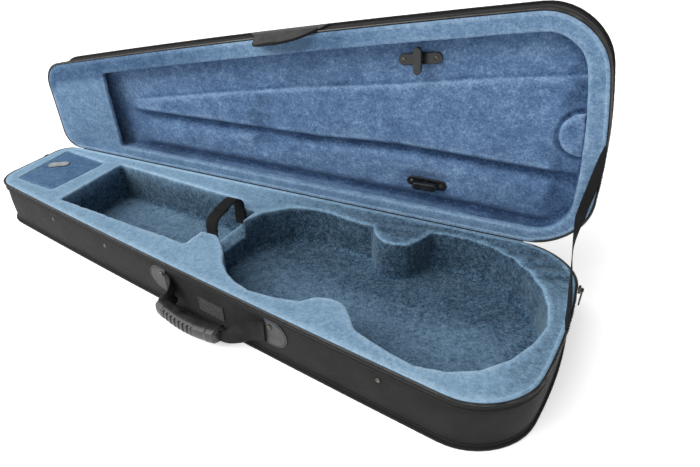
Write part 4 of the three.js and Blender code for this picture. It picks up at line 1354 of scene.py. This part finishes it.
def add_flap():
    plain_piece("flap_root_vinyl", "flap_root", "lid", FLAP_VINYL, "vinyl", 0.8 * MM, 3)
    leaf = rounded("lid_flap_leaf", ["lid_flap"], 0.55 * MM, 3)
    hinge = joint("flap_hinge")
    pivot, along = Vector(hinge["pos_m"]), Vector(hinge["axis"]).normalized()
    points = cad_points("lid_flap")
    down = Vector(points.mean(0)) - pivot
    down = (down - along * down.dot(along)).normalized()
    face = along.cross(down).normalized()

    def curled(place, normal):
        offset = place - pivot
        reach, side = offset.dot(down), offset.dot(along)
        curl = max(reach, 0) ** 2 * 5.0 + rough(place, 20 * MM, 6) * 0.8 * MM * smooth_step(0, 12 * MM, reach)
        lift = smooth_step(-26 * MM, -40 * MM, side) * smooth_step(4 * MM, 14 * MM, reach) * 1.5 * MM
        return -face * (curl - lift)

    displaced(leaf, curled)
    dressed(leaf, "flap", FLAP_VINYL, "vinyl", "lid_flap")
    flat = np.array([((Vector(p) - pivot).dot(along), (Vector(p) - pivot).dot(down)) for p in points])
    flat = np.unique(np.round(flat, 6), axis=0)
    middle = flat.mean(0)
    flat = flat[np.argsort(np.arctan2(flat[:, 1] - middle[1], flat[:, 0] - middle[0]))]
    edge = evenly(flat, 160, closed=True)
    free = edge[edge[:, 1] > 1.0 * MM]
    start = int(np.argmax(np.linalg.norm(np.diff(free, axis=0), axis=1))) + 1
    free = np.roll(free, -start, axis=0)
    binding, seam_line = [], []
    for side, reach in free:
        base = pivot + along * side + down * reach + face * 0.8 * MM
        place = base + curled(base, None)
        inward = np.array((middle[0] - side, middle[1] - reach))
        inward /= np.linalg.norm(inward)
        into = along * inward[0] + down * inward[1]
        binding.append((np.array(place + into * 1.0 * MM), np.array(into), 3.4 * MM))
        if reach > 7 * MM:
            seam_line.append(np.array(place + into * 2.0 * MM))
    edge_tape, _, _ = strap("flap_binding", binding, 2.6 * MM, steps=1)
    dressed(edge_tape, "flap", BINDING, "vinyl")
    for k, lift in enumerate((1.35 * MM, -1.35 * MM)):
        line = np.array(seam_line) + np.array(face) * lift
        spots = route_spots(line, 2.6 * MM, np.array(face))
        stitches(f"flap_stitches_{k + 1}", spots, (1.9, 0.5, 0.5), "flap", "vinyl")


def add_bow_clips():
    towards = OPEN.to_3x3() @ Vector((0, 0, -1))
    for i in (1, 2):
        for part, body, rounds in (("plate", "lid", 4), ("toggle", f"toggle_{i}", 5)):
            plain_piece(f"clip_{part}_{i}", f"bow_clip_{part}_{i}", body, CLIP, "clip_plastic",
                        0.5 * MM, rounds, SHUT, opened)
        for letter in "ab":
            node = f"bow_clip_screw_{i}{letter}"
            low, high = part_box(node)
            centre = (low + high) / 2 - towards * 0.5 * MM
            head = turned_head(f"{node}_head", centre, towards, 2.4 * MM, screw_profile(1.1 * MM))
            dressed(head, "lid", STEEL, "steel", node)


def add_sliders():
    for end in ("narrow", "wide"):
        for kind, body in (("slider", f"slider_{end}"), ("puller", f"puller_{end}")):
            node = f"zip_{kind}_{end}"
            plain_piece(f"{node}_metal", node, body, STEEL, "steel", 0.28 * MM, 3)


# ---------------------------------------------------------------- floor, light and camera

def add_floor():
    mesh = bpy.data.meshes.new("floor")
    mesh.from_pydata([(-30, -20, 0), (30, -20, 0), (30, 60, 0), (-30, 60, 0)], [], [(0, 1, 2, 3)])
    floor = linked("floor", mesh)
    make = Maker("pale_floor")
    tone = make.ramp(make.noise(0.8, 2, 0.5), (0.3, (0.93, 0.93, 0.93, 1)), (0.7, (0.95, 0.95, 0.95, 1)))
    floor.data.materials.append(make.done(tone, Roughness=0.9, Emission_Color=(1, 1, 1, 1),
                                          Emission_Strength=0.5))


def add_area_light(name, place, target, size, power):
    light = bpy.data.lights.new(name, "AREA")
    light.shape = "RECTANGLE"
    light.size, light.size_y = size
    light.energy = power
    obj = linked(name, light)
    obj.location = place
    obj.rotation_euler = (Vector(target) - Vector(place)).to_track_quat("-Z", "Y").to_euler()


def add_light():
    world = bpy.data.worlds.new("studio")
    world.use_nodes = True
    background = world.node_tree.nodes["Background"]
    background.inputs["Color"].default_value = (1, 1, 1, 1)
    background.inputs["Strength"].default_value = 0.38
    bpy.context.scene.world = world
    sun = bpy.data.lights.new("sun", "SUN")
    sun.energy = 2.3
    sun.angle = math.radians(60)
    obj = linked("sun", sun)
    obj.rotation_euler = Vector((-0.55, -0.42, 0.72)).to_track_quat("Z", "Y").to_euler()
    add_area_light("key", (-1.2, -1.3, 1.3), (-0.1, 0, 0.05), (1.0, 0.8), 12)


CAMERA_PLACE = (0.3572, -0.4869, 0.4515)
CAMERA_ANGLES = (22.74, 34.33, 0.39)  # yaw, pitch and roll in degrees
CAMERA_LENS = 28.81


def add_camera():
    """Stands where the case is seen from: before its wide end, looking down at the bed."""
    yaw, pitch, roll = (math.radians(angle) for angle in CAMERA_ANGLES)
    ahead = Vector((-math.sin(yaw) * math.cos(pitch), math.cos(yaw) * math.cos(pitch), -math.sin(pitch)))
    level = Vector((math.cos(yaw), math.sin(yaw), 0))
    down = ahead.cross(level)
    right = level * math.cos(roll) + down * math.sin(roll)
    up = level * math.sin(roll) - down * math.cos(roll)
    turn = Matrix((right, up, -ahead)).transposed().to_4x4()
    data = bpy.data.cameras.new("camera")
    data.sensor_width = 36
    data.lens = CAMERA_LENS
    camera = linked("camera", data)
    camera.matrix_world = Matrix.Translation(CAMERA_PLACE) @ turn
    bpy.context.scene.camera = camera


add_camera()
add_covers()
add_piping()
add_zips()
add_cloth_hinge()
add_plush_lips()
add_base_lining()
add_lid_lining()
add_box_lid()
add_neck_strap()
add_stay()
add_grip()
add_handle_straps()
add_rivets()
add_patches()
add_flap()
add_bow_clips()
add_sliders()
add_floor()
add_light()
bpy.context.scene.view_settings.view_transform = "Standard"

bpy.context.view_layer.update()
